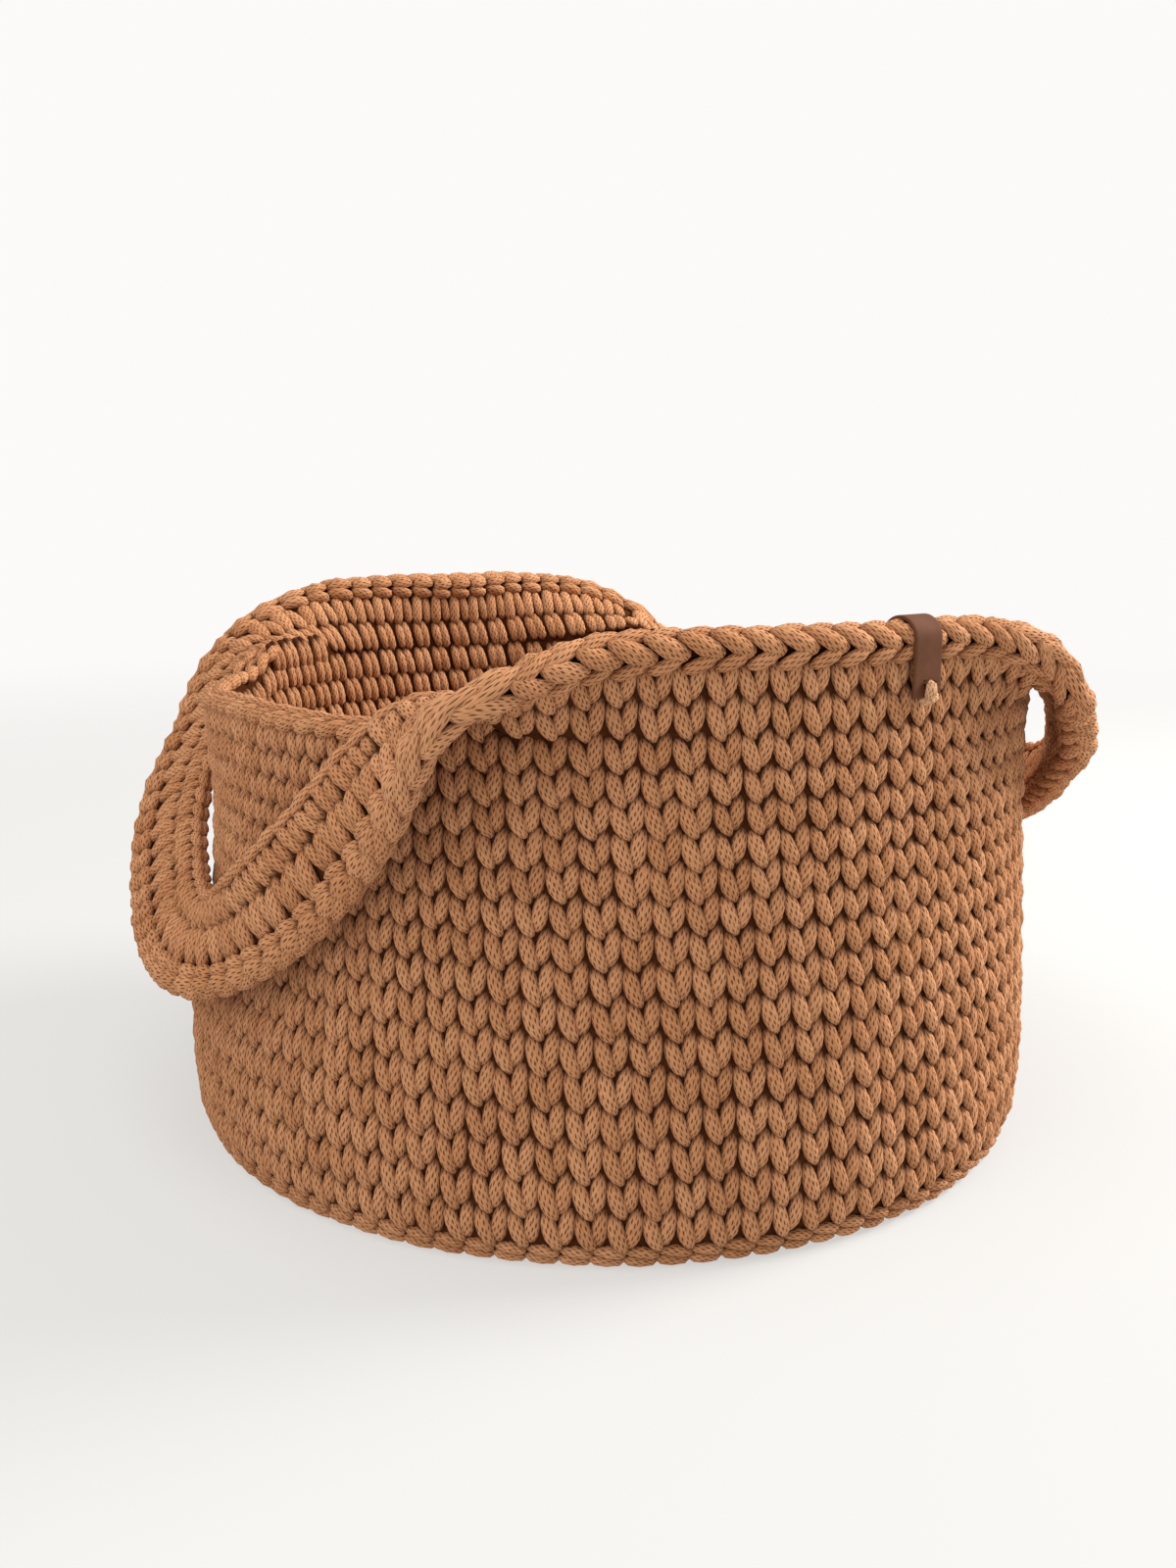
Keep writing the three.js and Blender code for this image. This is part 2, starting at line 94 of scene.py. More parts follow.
# %% Measures
THICK, ROW, STITCH = 11.0, 13.4, 13.0
GAP = 0.3
FOOT, BELLY, BELLY_Z, RIM = 204.0, 209.0, 30.0, 203.0
EDGE_Z = 9.0
WALL_ROWS, BAND_ROWS, COLUMNS = 15, 2, 98
LOOSE = 7.0
CHAIN = 13.0
WALL_TOP = EDGE_Z + WALL_ROWS * ROW
STRIP = BAND_ROWS * ROW + GAP + CHAIN
SLOT_HALF = 47.0
print("wall top", WALL_TOP, "mm, strip above it", round(STRIP, 1), "mm")

# %% [markdown]
# The wall draws in beside the slots and sags inside them. Where the sides differ, a pair gives the left
# one first. The drawing in starts at one height, is full at the next, and eases off from the third.

# %% The wall's shape
WAIST_IN, TOP_IN = (12.0, 7.0), (7.5, 3.0)
IN_FROM, IN_FULL, IN_EASES = 60, 105, 150
IN_SPREAD = 50
SAG_FRONT, SAG_BACK = (3.3, 12.0), (10.0, 5.0)
SAG_TURNS = (-20, 10)
SAG_FLAT, SAG_FROM = 38, 130


def eased(low, high, value):
    share = np.clip((np.asarray(value, float) - low) / (high - low), 0, 1)
    return share * share * (3 - 2 * share)


def wall_radius(z):
    z = np.asarray(z, float)
    low = BELLY - (BELLY - FOOT) * (1 - np.clip(z, 0, BELLY_Z) / BELLY_Z) ** 2
    return np.where(z < BELLY_Z, low, BELLY - (BELLY - RIM) * eased(BELLY_Z, WALL_TOP, z))


def drawn_in(angle, z):
    """How far the wall stands in beside a slot."""
    across = np.sin(np.radians(angle))
    away = np.degrees(np.arccos(np.clip(np.abs(across), 0, 1)))
    waist, top = np.where(across < 0, *WAIST_IN), np.where(across < 0, *TOP_IN)
    depth = waist + (top - waist) * eased(IN_EASES, WALL_TOP, z)
    return depth * (1 - eased(0, IN_SPREAD, away)) * eased(IN_FROM, IN_FULL, z)


def sag(angle, z):
    """How far a height near the wall's top comes down inside a slot, more at its slack end."""
    across = np.sin(np.radians(angle))
    turn = np.degrees(np.arcsin(np.clip(np.cos(np.radians(angle)), -1, 1)))
    front, back = np.where(across < 0, *SAG_FRONT), np.where(across < 0, *SAG_BACK)
    depth = back + (front - back) * eased(*SAG_TURNS, turn)
    return depth * (1 - eased(SAG_FLAT, SLOT_HALF, np.abs(turn))) * eased(SAG_FROM, WALL_TOP, z)


def on_wall(angle, inset, z):
    radius = wall_radius(z) - drawn_in(angle, z) - inset
    turn = np.radians(angle)
    return np.stack([radius * np.sin(turn), -radius * np.cos(turn), z - sag(angle, z)], axis=-1) * MM


print("wall radius at foot, belly and rim", [float(wall_radius(z)) for z in (0, BELLY_Z, WALL_TOP)])

# %% [markdown]
# ## The strip above the wall
# The last rounds form one strip that runs right round: upright as the bands at front and back, and
# hanging loose as the straps at the sides. It is described by stations along its middle line, each with
# the direction across the strip towards the rim, and a smooth curve runs through them. A root station
# stands on the wall: its angle from the slot's middle, its lean and its curl. A hanging one has its place
# in the slot, from 1 in front to -1 behind, its distance outside the wall, its roll and its curl.

# %% Stations of the two straps
LEFT = {
    "side": -1, "lowest": 99, "front": 118, "back": 110, "bend": 2, "tops": (1.03, 1.022),
    "front_root": [(80, 0, 0), (72, 4, 8), (64, 12, 20), (57, 38, 24)],
    "stations": [
        (1.07, 20, 92, 0), (0.97, 21, 128, 0), (0.87, 17, 154, 0), (0.77, 12, 168, 0), (0.64, 9.5, 178, 0),
        (0.5, 8, 180, 0), (0.3, 6.5, 168, 0), (0.1, 7.5, 152, 0), (-0.1, 9, 143, 0), (-0.3, 12.3, 134, 0),
        (-0.5, 18.5, 126, 0), (-0.68, 23.2, 119, 0), (-0.84, 23, 118, 0), (-0.96, 24.5, 114, 0),
        (-1.07, 21, 94, 0)],
    "back_root": [(57, 50, 30), (64, 20, 30), (72, 8, 16), (82, 2, 4)],
}
RIGHT = {
    "side": 1, "lowest": 135, "front": 78, "back": 60.2, "bend": 1.8, "tops": (1.03, 1.03),
    "front_root": [(76, 0, 0), (68, 0, 27), (61, 8, 72), (55, 33, 125)],
    "stations": [
        (1.06, 15, 135, 90), (0.97, 16.3, 144, 46), (0.87, 18.2, 157, 12), (0.75, 17, 178, 0),
        (0.6, 18, 197, 0), (0.45, 21, 210, 0), (0.25, 25.5, 214, 0), (0, 29, 204, 0), (-0.25, 29.8, 187, 0),
        (-0.5, 29.2, 167, 0), (-0.7, 28.8, 147, 0), (-0.86, 27.4, 128, 0), (-1, 26.5, 111, 0),
        (-1.12, 21, 91, 0)],
    "back_root": [(59, 84, 0), (66, 51, 8), (74, 26, 12), (82, 10, 8), (90, 0, 0)],
}
UP = np.array([0.0, 0.0, 1.0])


def outward(angle):
    turn = math.radians(angle)
    return np.array([math.sin(turn), -math.cos(turn), 0.0])


def curve_point(points, share, closed):
    """A point on the smooth curve through the stations (a centripetal Catmull-Rom curve)."""
    count = len(points)
    along = (count if closed else count - 1) * share
    first = math.floor(along)
    part = along - first
    if not closed and first >= count - 1:
        first, part = count - 2, 1.0
    if closed:
        p0, p1, p2, p3 = (points[(first + k) % count] for k in (-1, 0, 1, 2))
    else:
        p1, p2 = points[first], points[first + 1]
        p0 = points[first - 1] if first > 0 else 2 * p1 - p2
        p3 = points[first + 2] if first + 2 < count else 2 * p2 - p1
    d0, d1, d2 = (max(np.linalg.norm(b - a), 1e-6) ** 0.5 for a, b in ((p0, p1), (p1, p2), (p2, p3)))
    t1 = ((p1 - p0) / d0 - (p2 - p0) / (d0 + d1) + (p2 - p1) / d1) * d1
    t2 = ((p2 - p1) / d1 - (p3 - p1) / (d1 + d2) + (p3 - p2) / d2) * d1
    a, b = 2 * p1 - 2 * p2 + t1 + t2, -3 * p1 + 3 * p2 - 2 * t1 - t2
    return p1 + part * (t1 + part * (b + part * a))


def curve_direction(points, share, closed):
    low, high = share - 1e-4, share + 1e-4
    if not closed:
        low, high = max(low, 0), min(high, 1)
    step = curve_point(points, high, closed) - curve_point(points, low, closed)
    return step / np.linalg.norm(step)


def bent(x, y, curl):
    """A point of the strip's flat cross-section, after the strip curls outwards by that many degrees."""
    from_mid = x - STRIP / 2
    curl = np.where(np.abs(curl) < 1e-3, 1e-3, curl)
    radius = STRIP / np.radians(curl)
    turn = from_mid / radius
    return (radius + y) * np.sin(turn), (radius + y) * np.cos(turn) - radius


def leaning(angle, lean, curl):
    out = outward(angle)
    tilt = math.radians(lean + curl / 2)
    across = UP * math.cos(tilt) + out * math.sin(tilt)
    through = UP * math.sin(tilt) - out * math.cos(tilt)
    foot_x, foot_y = bent(0.0, -THICK / 2, curl)
    place = out * RIM + UP * (WALL_TOP + GAP) - across * foot_x - through * foot_y
    return place, across, curl


def hanging(strap):
    side = strap["side"]
    places = []
    for turn, out, _, _ in strap["stations"]:
        hang, top = (strap["front"], strap["tops"][0]) if turn > 0 else (strap["back"], strap["tops"][1])
        z = strap["lowest"] + hang * min(abs(turn), top) ** strap["bend"]
        places.append(outward(side * (90 - turn * SLOT_HALF)) * (float(wall_radius(z)) + out) + UP * z)
    frames = []
    for i, (turn, _, roll, curl) in enumerate(strap["stations"]):
        along = curve_direction(places, i / (len(places) - 1), False)
        away = outward(side * (90 - turn * SLOT_HALF))
        away = away - along * away.dot(along)
        away /= np.linalg.norm(away)
        upright = np.cross(along, away) * -side
        tilt = math.radians(roll)
        frames.append((places[i], upright * math.cos(tilt) + away * math.sin(tilt), curl))
    return frames


def strip_stations():
    stations, marks = [], {}
    left = lambda turn: -90 + turn
    right = lambda turn: 90 - turn

    def band(start, end):
        stations.extend(leaning(start + (end - start) * i / 6, 0, 0) for i in range(1, 6))

    band(right(RIGHT["front_root"][0][0]), left(LEFT["front_root"][0][0]))
    stations.extend(leaning(left(a), lean, curl) for a, lean, curl in LEFT["front_root"])
    marks["left_start"] = len(stations)
    stations.extend(hanging(LEFT))
    marks["left_end"] = len(stations) - 1
    stations.extend(leaning(left(-a), lean, curl) for a, lean, curl in LEFT["back_root"])
    band(left(-LEFT["back_root"][-1][0]), right(-RIGHT["back_root"][-1][0]) - 360)
    stations.extend(leaning(right(-a), lean, curl) for a, lean, curl in reversed(RIGHT["back_root"]))
    marks["right_start"] = len(stations)
    stations.extend(reversed(hanging(RIGHT)))
    marks["right_end"] = len(stations) - 1
    stations.extend(leaning(right(a), lean, curl) for a, lean, curl in reversed(RIGHT["front_root"]))
    return stations, marks


STATIONS, MARKS = strip_stations()
print("strip stations", len(STATIONS), MARKS)

# %% [markdown]
# A table of closely spaced frames along the strip makes it quick to bend thousands of points. Stitches
# are counted along it in columns. Beside the slots the columns stand on the wall's own columns. Across
# a slot the strap is longer than the gap it spans, so it gets more columns than the wall has there.

# %% Table of frames along the strip
STEPS = 24


def strip_table():
    places = [s[0] for s in STATIONS]
    rims = [s[0] + s[1] * STRIP / 2 for s in STATIONS]
    count = len(STATIONS) * STEPS
    rows = []
    for i in range(count + 1):
        share = (i / count) % 1
        place = curve_point(places, share, True)
        along = curve_direction(places, share, True)
        across = curve_point(rims, share, True) - place
        across -= along * across.dot(along)
        across /= np.linalg.norm(across)
        here = math.floor(share * len(STATIONS) + 1e-6)
        blend = float(eased(0, 1, share * len(STATIONS) - here))
        curls = [STATIONS[k % len(STATIONS)][2] for k in (here, here + 1)]
        curl = curls[0] * (1 - blend) + curls[1] * blend
        rows.append(np.concatenate([place, across, np.cross(along, across), [curl]]))
    return np.array(rows)


TABLE = strip_table()
lengths = np.concatenate([[0], np.cumsum(np.linalg.norm(np.diff(TABLE[:, :3], axis=0), axis=1))])
base_line = TABLE[:, :3] - TABLE[:, 3:6] * STRIP / 2
turned = np.degrees(np.unwrap(np.arctan2(base_line[:, 0], -base_line[:, 1])))
PER_COLUMN = 360 / COLUMNS


def count_columns():
    """Columns run against the strip's own direction, because angles grow towards the right."""
    marks = [MARKS[k] * STEPS for k in ("left_start", "left_end", "right_start", "right_end")]
    columns = -turned / PER_COLUMN
    extra = []
    for start, end in ((marks[0], marks[1]), (marks[2], marks[3])):
        spanned = columns[end] - columns[start]
        arc = lengths[end] - lengths[start]
        more = round(arc / STITCH - spanned)
        share = (lengths[start:end + 1] - lengths[start]) / arc
        middle = columns[start] + share * (spanned + more)
        columns = np.concatenate([columns[:start], middle, columns[end + 1:] + more])
        extra.append(more)
    return columns, extra


STRIP_COLUMNS, EXTRA = count_columns()
print("strap columns more than the gap", EXTRA, "strip length", round(lengths[-1]), "mm",
      "columns in all", round(STRIP_COLUMNS[-1] - STRIP_COLUMNS[0], 2))


def on_strip(column, x, y):
    """The place of a point: its column along the strip, x up its rows, and y inwards from its middle."""
    total = STRIP_COLUMNS[-1] - STRIP_COLUMNS[0]
    column = (np.asarray(column, float) - STRIP_COLUMNS[0]) % total + STRIP_COLUMNS[0]
    row = np.stack([np.interp(column, STRIP_COLUMNS, TABLE[:, k]) for k in range(10)], axis=-1)
    across_x, across_y = bent(x, y, row[:, 9])
    place = row[:, 0:3] + row[:, 3:6] * across_x[:, None] + row[:, 6:9] * across_y[:, None]
    return place * MM


# %% [markdown]
# ## A strand of cord
# Every stitch is a few short lengths of the same fat cord, which lie over each other. Each one is made
# from rings: bmesh circles set along a path, bridged into a tube and closed at both ends. The ends are
# narrow, because there the cord dives into the fabric. The UV map is in millimetres, round the cord and
# along it, so the knitted surface keeps its scale on every strand.

# %% Helper: one strand
def strand(bm, path, width, depth, centre=None, sides=8):
    """A path point is (x, y, z, size). Its flat side faces +Z, or away from a centre line (y, z)."""
    uv = bm.loops.layers.uv.get("UVMap") or bm.loops.layers.uv.new("UVMap")
    points = [Vector(p[:3]) for p in path]
    spots, rings, travelled = {}, [], 0.0
    for i, point in enumerate(points):
        along = (points[min(i + 1, len(points) - 1)] - points[max(i - 1, 0)]).normalized()
        facing = Vector((0, 0, 1))
        if centre is not None:
            facing = Vector((0, point.y - centre[0], point.z - centre[1]))
        side = facing.cross(along).normalized()
        normal = along.cross(side)
        size = path[i][3]
        wide, deep = side * width * size / 2, normal * depth * size / 2
        stand = Matrix((wide, deep, along)).transposed().to_4x4()
        stand.translation = point
        ring = bmesh.ops.create_circle(bm, segments=sides, radius=1, matrix=stand)["verts"]
        travelled += (point - points[i - 1]).length if i else 0
        for j, vert in enumerate(ring):
            spots[vert] = (j, travelled)
        rings.append(ring)
    edges = [list({e for v in ring for e in v.link_edges}) for ring in rings]
    faces = []
    for low, high in zip(edges, edges[1:]):
        faces += bmesh.ops.bridge_loops(bm, edges=low + high)["faces"]
    for end in (edges[0], edges[-1]):
        faces += bmesh.ops.contextual_create(bm, geom=end)["faces"]
    girth = math.pi * (width + depth) / 2
    for face in faces:
        face.smooth = True
        turns = [spots[loop.vert][0] for loop in face.loops]
        wraps = max(turns) - min(turns) > sides / 2
        for loop, turn in zip(face.loops, turns):
            turn = turn + sides if wraps and turn < sides / 2 else turn
            loop[uv].uv = (turn * girth / sides, spots[loop.vert][1])
    bmesh.ops.recalc_face_normals(bm, faces=faces)


def round_line(centre, spots):
    """A path that winds about a centre line (y, z): x, turn from +Z towards +Y, distance and size."""
    turned = [(x, math.radians(turn), r, size) for x, turn, r, size in spots]
    return [(x, centre[0] + r * math.sin(turn), centre[1] + r * math.cos(turn), size)
            for x, turn, r, size in turned]


# %% [markdown]
# ## The stitches
# Outside, each stitch is a V. Its left leg is long, lies on top and ends in a blunt tip; its right leg
# is a leaf that tucks in under that tip. Inside, the same stitch shows two slanted bars. The rim is a
# chain of bigger strands that wind round a line, and the slot and strap edges are smaller chains.

# %% Stitches of the wall
def stitch(bm, y, strands, inside=False):
    """One stitch at height y. A strand is its path, width and depth. Inside, it's turned over."""
    turn = -1 if inside else 1
    for path, width, depth in strands:
        strand(bm, [(turn * x, y + up, turn * z, size) for x, up, z, size in path], width, depth)


def outer_v(bm, y):
    stitch(bm, y, (
        ([(-4.9, 8.8, -1.0, 0.42), (-4.4, 6.4, 1.1, 0.78), (-3.7, 3.8, 2.4, 0.97), (-2.8, 0.9, 3.1, 1.02),
          (-1.7, -2.2, 3.5, 1.0), (-0.4, -5.0, 3.3, 0.82), (0.9, -7.6, 2.4, 0.42)], 6.7, 4.9),
        ([(4.7, 11.6, -0.8, 0.42), (4.5, 8.8, 1.0, 0.76), (4.1, 5.6, 2.2, 0.95), (3.6, 2.2, 2.8, 1.0),
          (3.1, -1.0, 2.6, 0.98), (2.4, -4.0, 1.6, 0.82), (1.6, -6.8, 0.2, 0.42)], 6.6, 4.9)))


def inner_bars(bm, y):
    stitch(bm, y, (
        ([(-5.4, 8.6, -1.0, 0.44), (-4.9, 5.8, 1.0, 0.86), (-4.0, 2.0, 2.6, 1.02), (-2.9, -2.2, 3.0, 1.04),
          (-1.8, -5.8, 2.5, 0.92), (-0.9, -8.4, 0.8, 0.48)], 5.6, 5.2),
        ([(-1.2, 9.2, -1.0, 0.44), (-0.4, 6.2, 1.3, 0.88), (0.7, 2.0, 2.9, 1.05), (1.9, -2.2, 3.4, 1.06),
          (3.0, -6.0, 3.0, 0.96), (3.8, -8.8, 1.0, 0.5)], 5.9, 5.4)), inside=True)


# %% Stitches of the strip's inner face
def inner_posts(bm, y):
    stitch(bm, y, (
        ([(-3.4, 11.6, 0.6, 0.62), (-3.6, 8.2, 2.2, 0.98), (-3.8, 2.6, 3.0, 1.02), (-3.7, -3.2, 3.0, 1.02),
          (-3.4, -7.6, 1.4, 0.66)], 6.9, 5.4),
        ([(1.0, 11.2, 0.2, 0.56), (1.8, 7.4, 1.9, 0.92), (2.9, 2.2, 2.6, 1.0), (3.8, -3.2, 2.4, 0.97),
          (4.3, -7.4, 0.6, 0.52)], 6.1, 5.0)), inside=True)


def strap_knots(bm, y):
    """The first row on a strap's inner face is short and tight, because it grows from the edge chain."""
    stitch(bm, y, (
        ([(-6.4, 7.6, -0.2, 0.55), (-5.0, 2.9, 2.0, 1.0), (-3.8, -0.8, 2.8, 1.04), (-2.6, -4.2, 1.9, 0.86),
          (-1.8, -7.0, 0.2, 0.48)], 6.4, 5.2),
        ([(-1.4, 9.4, -0.2, 0.55), (0.2, 4.8, 2.2, 1.0), (2.1, -0.2, 3.2, 1.08), (3.8, -4.2, 2.7, 0.96),
          (4.9, -7.6, 0.8, 0.5)], 6.6, 5.4)), inside=True)


def strap_posts(bm, y):
    stitch(bm, y, (
        ([(1.6, 9.6, 0.8, 0.62), (1.6, 6.4, 3.0, 1.02), (1.4, 1.2, 3.8, 1.1), (1.0, -4.4, 3.2, 1.0),
          (0.6, -9.2, 1.0, 0.58)], 7.4, 5.6),
        ([(5.4, 10.4, -0.4, 0.55), (6.2, 6.6, 1.8, 0.92), (7.4, 1.2, 2.9, 1.0), (8.7, -4.6, 3.2, 1.02),
          (9.8, -10.4, 1.0, 0.58)], 6.6, 5.2)), inside=True)


# %% Links of the rim, strap edge and slot edge chains
RIM_LINE = (33.0, 0.0)
EDGE_LINE = (-2.8, 0.0)
SLOT_LINE = (WALL_TOP + GAP + 1.2, -0.4)


def rim_link(bm):
    front_upper = [(-8.8, 39.0, 0.2, 0.4), (-6.6, 38.4, 2.4, 0.82), (-3.2, 37.0, 4.2, 1.02),
                   (0.6, 35.0, 5.1, 1.08), (4.2, 33.0, 5.1, 1.0), (6.8, 31.5, 3.8, 0.8),
                   (8.2, 30.6, 2.0, 0.42)]
    front_lower = [(-7.0, 25.6, 1.8, 0.45), (-4.6, 26.6, 3.6, 0.96), (-1.0, 28.2, 4.6, 1.06),
                   (2.6, 30.0, 4.5, 1.0), (5.4, 31.6, 3.2, 0.78), (7.2, 32.6, 1.6, 0.42)]
    top_back = [(-9.4, 37.4, 1.6, 0.42), (-6.0, 38.3, 0.9, 0.9), (-1.4, 38.6, -0.5, 1.02),
                (3.2, 38.3, -2.2, 1.0), (6.8, 37.4, -3.6, 0.82), (8.8, 36.4, -4.0, 0.42)]
    inner_high = [(-6.6, 36.6, -1.6, 0.42), (-4.4, 36.2, -3.9, 0.9), (-0.4, 35.6, -5.2, 1.12),
                  (3.6, 34.9, -4.6, 0.98), (5.8, 34.4, -2.4, 0.45)]
    inner_low = [(-6.4, 28.0, -1.8, 0.45), (-4.0, 28.4, -3.9, 0.92), (0, 29.2, -5.0, 1.1),
                 (3.8, 30.2, -4.4, 0.96), (6.2, 31.2, -2.2, 0.45)]
    for path, width in ((front_upper, 7.4), (front_lower, 6.6), (top_back, 6.6), (inner_high, 8.6),
                        (inner_low, 6.6)):
        strand(bm, path, width, 5.2, RIM_LINE)


def edge_link(bm):
    outer = [(-8.2, -6, 1.2, 0.42), (-5.0, -14, 2.5, 0.92), (0, -30, 3.0, 1.04), (5.0, -52, 2.5, 0.9),
             (8.0, -72, 1.2, 0.42)]
    inner = [(x, 180 - turn, r, size) for x, turn, r, size in outer]
    for path in (outer, inner):
        strand(bm, round_line(EDGE_LINE, path), 5.6, 4.6, EDGE_LINE)


def slot_link(bm):
    front = [(-9.4, -20, 3.0, 0.5), (-6.6, -16, 4.2, 0.96), (-2.0, -2, 4.6, 1.05), (3.2, 20, 4.4, 0.98),
             (7.2, 46, 3.4, 0.7), (9.0, 58, 2.4, 0.42)]
    back = [(-8.6, 88, 2.4, 0.42), (-5.0, 104, 3.6, 0.9), (0, 124, 4.3, 1.02), (4.8, 146, 4.4, 0.96),
            (8.4, 160, 3.2, 0.5)]
    strand(bm, round_line(SLOT_LINE, front), 6.4, 5.0, SLOT_LINE)
    strand(bm, round_line(SLOT_LINE, back), 6.2, 4.8, SLOT_LINE)


# %% [markdown]
# ## Fabric from one stitch
# One stitch is repeated in a row by bmesh's spin operator, which makes copies along a straight step when
# its angle is zero. No hand-made stitch equals the next, so every copy is then nudged, tilted and toned a
# little. A seed keeps that the same on each run. Last, a shape function bends the flat fabric into place.

# %% Helpers: repeat and nudge
def mesh_from(bm, name):
    mesh = bpy.data.meshes.new(name)
    bm.to_mesh(mesh)
    bm.free()
    return mesh


def points_of(mesh):
    co = np.empty(len(mesh.vertices) * 3)
    mesh.vertices.foreach_get("co", co)
    return co.reshape(-1, 3)


def repeated(make, columns, rows=1, drift=0.0, pitch=ROW):
    """Flat fabric: one stitch in columns along x and rows up y, each row drifting sideways."""
    bm = bmesh.new()
    make(bm)
    size = len(bm.verts)
    for times, step in ((columns, (STITCH, 0, 0)), (rows, (-drift, pitch, 0))):
        if times > 1:
            everything = bm.verts[:] + bm.edges[:] + bm.faces[:]
            bmesh.ops.spin(bm, geom=everything, cent=(0, 0, 0), axis=(0, 0, 1), dvec=step, angle=0,
                           steps=times - 1, use_duplicate=True)
    return mesh_from(bm, "flat_fabric"), size


GROW, SLIDE = (-0.035, 0.045), 40


def nudged(mesh, size, seed, shift=0.35, tilt=3.5):
    """Moves, tilts, tones and slides the knitted pattern of every stitch by its own small amounts."""
    dice = np.random.default_rng(seed)
    co = points_of(mesh).reshape(-1, size, 3)
    count = len(co)
    middle = co.mean(axis=1, keepdims=True)
    turn = np.radians(dice.uniform(-tilt, tilt, (count, 1)))
    grow = 1 + dice.uniform(*GROW, (count, 1))
    off = (co - middle) * grow[:, :, None]
    x = off[:, :, 0] * np.cos(turn) - off[:, :, 1] * np.sin(turn)
    y = off[:, :, 0] * np.sin(turn) + off[:, :, 1] * np.cos(turn)
    co = np.stack([x, y, off[:, :, 2]], axis=-1) + middle + dice.uniform(-shift, shift, (count, 1, 3))
    tone = mesh.attributes.new("tone", "FLOAT", "POINT")
    tone.data.foreach_set("value", np.repeat(dice.uniform(0, 1, count), size).astype(np.float32))
    slide = np.repeat(dice.uniform(0, SLIDE, (count, 2)), size, axis=0)
    corners = np.empty(len(mesh.loops), dtype=np.int32)
    mesh.loops.foreach_get("vertex_index", corners)
    uv = np.empty(len(mesh.loops) * 2)
    layer = mesh.uv_layers[0].data
    layer.foreach_get("uv", uv)
    layer.foreach_set("uv", (uv.reshape(-1, 2) + slide[corners]).ravel())
    return co.reshape(-1, 3)


# %% [markdown]
# The shape functions take flat points: x along the work, y up it and z outwards, in millimetres.
# Each point also notes how deep it lies in its stitch, so that the material can paint shade into the creases.

# %% Helpers: bend and finish
FACE_DEPTH = 4.6


def finished(name, mesh, co, place, depth_of, material):
    """Bends flat points into place, notes how deep each lies in its stitch for the painted crease shade, and
    makes the object.
    """
    crease_shade = mesh.attributes.new("crease_shade", "FLOAT", "POINT")
    crease_shade.data.foreach_set("value", depth_of(co).astype(np.float32))
    mesh.vertices.foreach_set("co", place(co).ravel())
    mesh.materials.append(material)
    mesh.update()
    return placed(name, mesh)


def inside_place(co):
    return on_wall(co[:, 0] / STITCH * PER_COLUMN, THICK / 2 - co[:, 2], co[:, 1])


def wall_place(co):
    """The wall's lower rounds are worked looser, so they stand taller than the upper ones."""
    share = np.clip((co[:, 1] - EDGE_Z) / (WALL_TOP - EDGE_Z), 0, 1)
    height = co[:, 1] + LOOSE * np.sin(np.pi * share)
    return on_wall(co[:, 0] / STITCH * PER_COLUMN, THICK / 2 - co[:, 2], height)


def strip_place(co):
    return on_strip(-co[:, 0] / STITCH, co[:, 1], -co[:, 2])


# These depths drive the painted crease shade: 0 on a strand's crest, 1 deep in the fabric.
def outer_depth(co):
    return np.clip((FACE_DEPTH - co[:, 2]) / FACE_DEPTH, 0, 1)


def inner_depth(co):
    return np.clip((FACE_DEPTH + co[:, 2]) / FACE_DEPTH, 0, 1)


def chain_depth(line, reach):
    """A chain is deepest at the line that its links wind round."""
    return lambda co: np.clip((reach - np.hypot(co[:, 1] - line[0], co[:, 2] - line[1])) / reach, 0, 1)


def joined(name, pieces):
    """Joins pieces into one object, keeping their own corners, maps and values."""
    bpy.ops.object.select_all(action="DESELECT")
    for piece in pieces:
        piece.select_set(True)
    bpy.context.view_layer.objects.active = pieces[0]
    bpy.ops.object.join()
    pieces[0].name = name
    return pieces[0]


def belongs(piece, node, side=0):
    """Basket pieces ride on it; strap pieces are only fixed in place, not attached to anything."""
    if side == 0:
        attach(piece, "basket")
    else:
        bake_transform(piece)
    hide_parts(node)
    print(piece.name, "triangles", sum(len(p.vertices) - 2 for p in piece.data.polygons))


# %% [markdown]
# ## The cord's material
# Close up, the cord is a fine knitted tube: small slanted loops with a pinhole between each four, which the
# material paints dark as shade.
# The pinholes are the cells of a Voronoi pattern laid on the cord's own UV map and turned to stand in
# staggered rows. A second, stretched noise gives the cotton's fibres. The effect is one node group, as
# every cord material uses it.

# %% Helpers: nodes
def add_node(nodes, kind, sockets=None, **settings):
    """A new shader node, with its settings and the values of its sockets."""
    node = nodes.new("ShaderNode" + kind)
    for name, value in settings.items():
        setattr(node, name, value)
    return filled(node, sockets or {})


def filled(node, sockets):
    for socket, value in sockets.items():
        node.inputs[socket].default_value = value
    return node


def wire(links, *runs):
    """Each run goes from a node and its output to a node and its input."""
    for source, output, target, entry in runs:
        links.new(source.outputs[output], target.inputs[entry])


# %% Node group: knitted cord
PIN_LEAN = 12


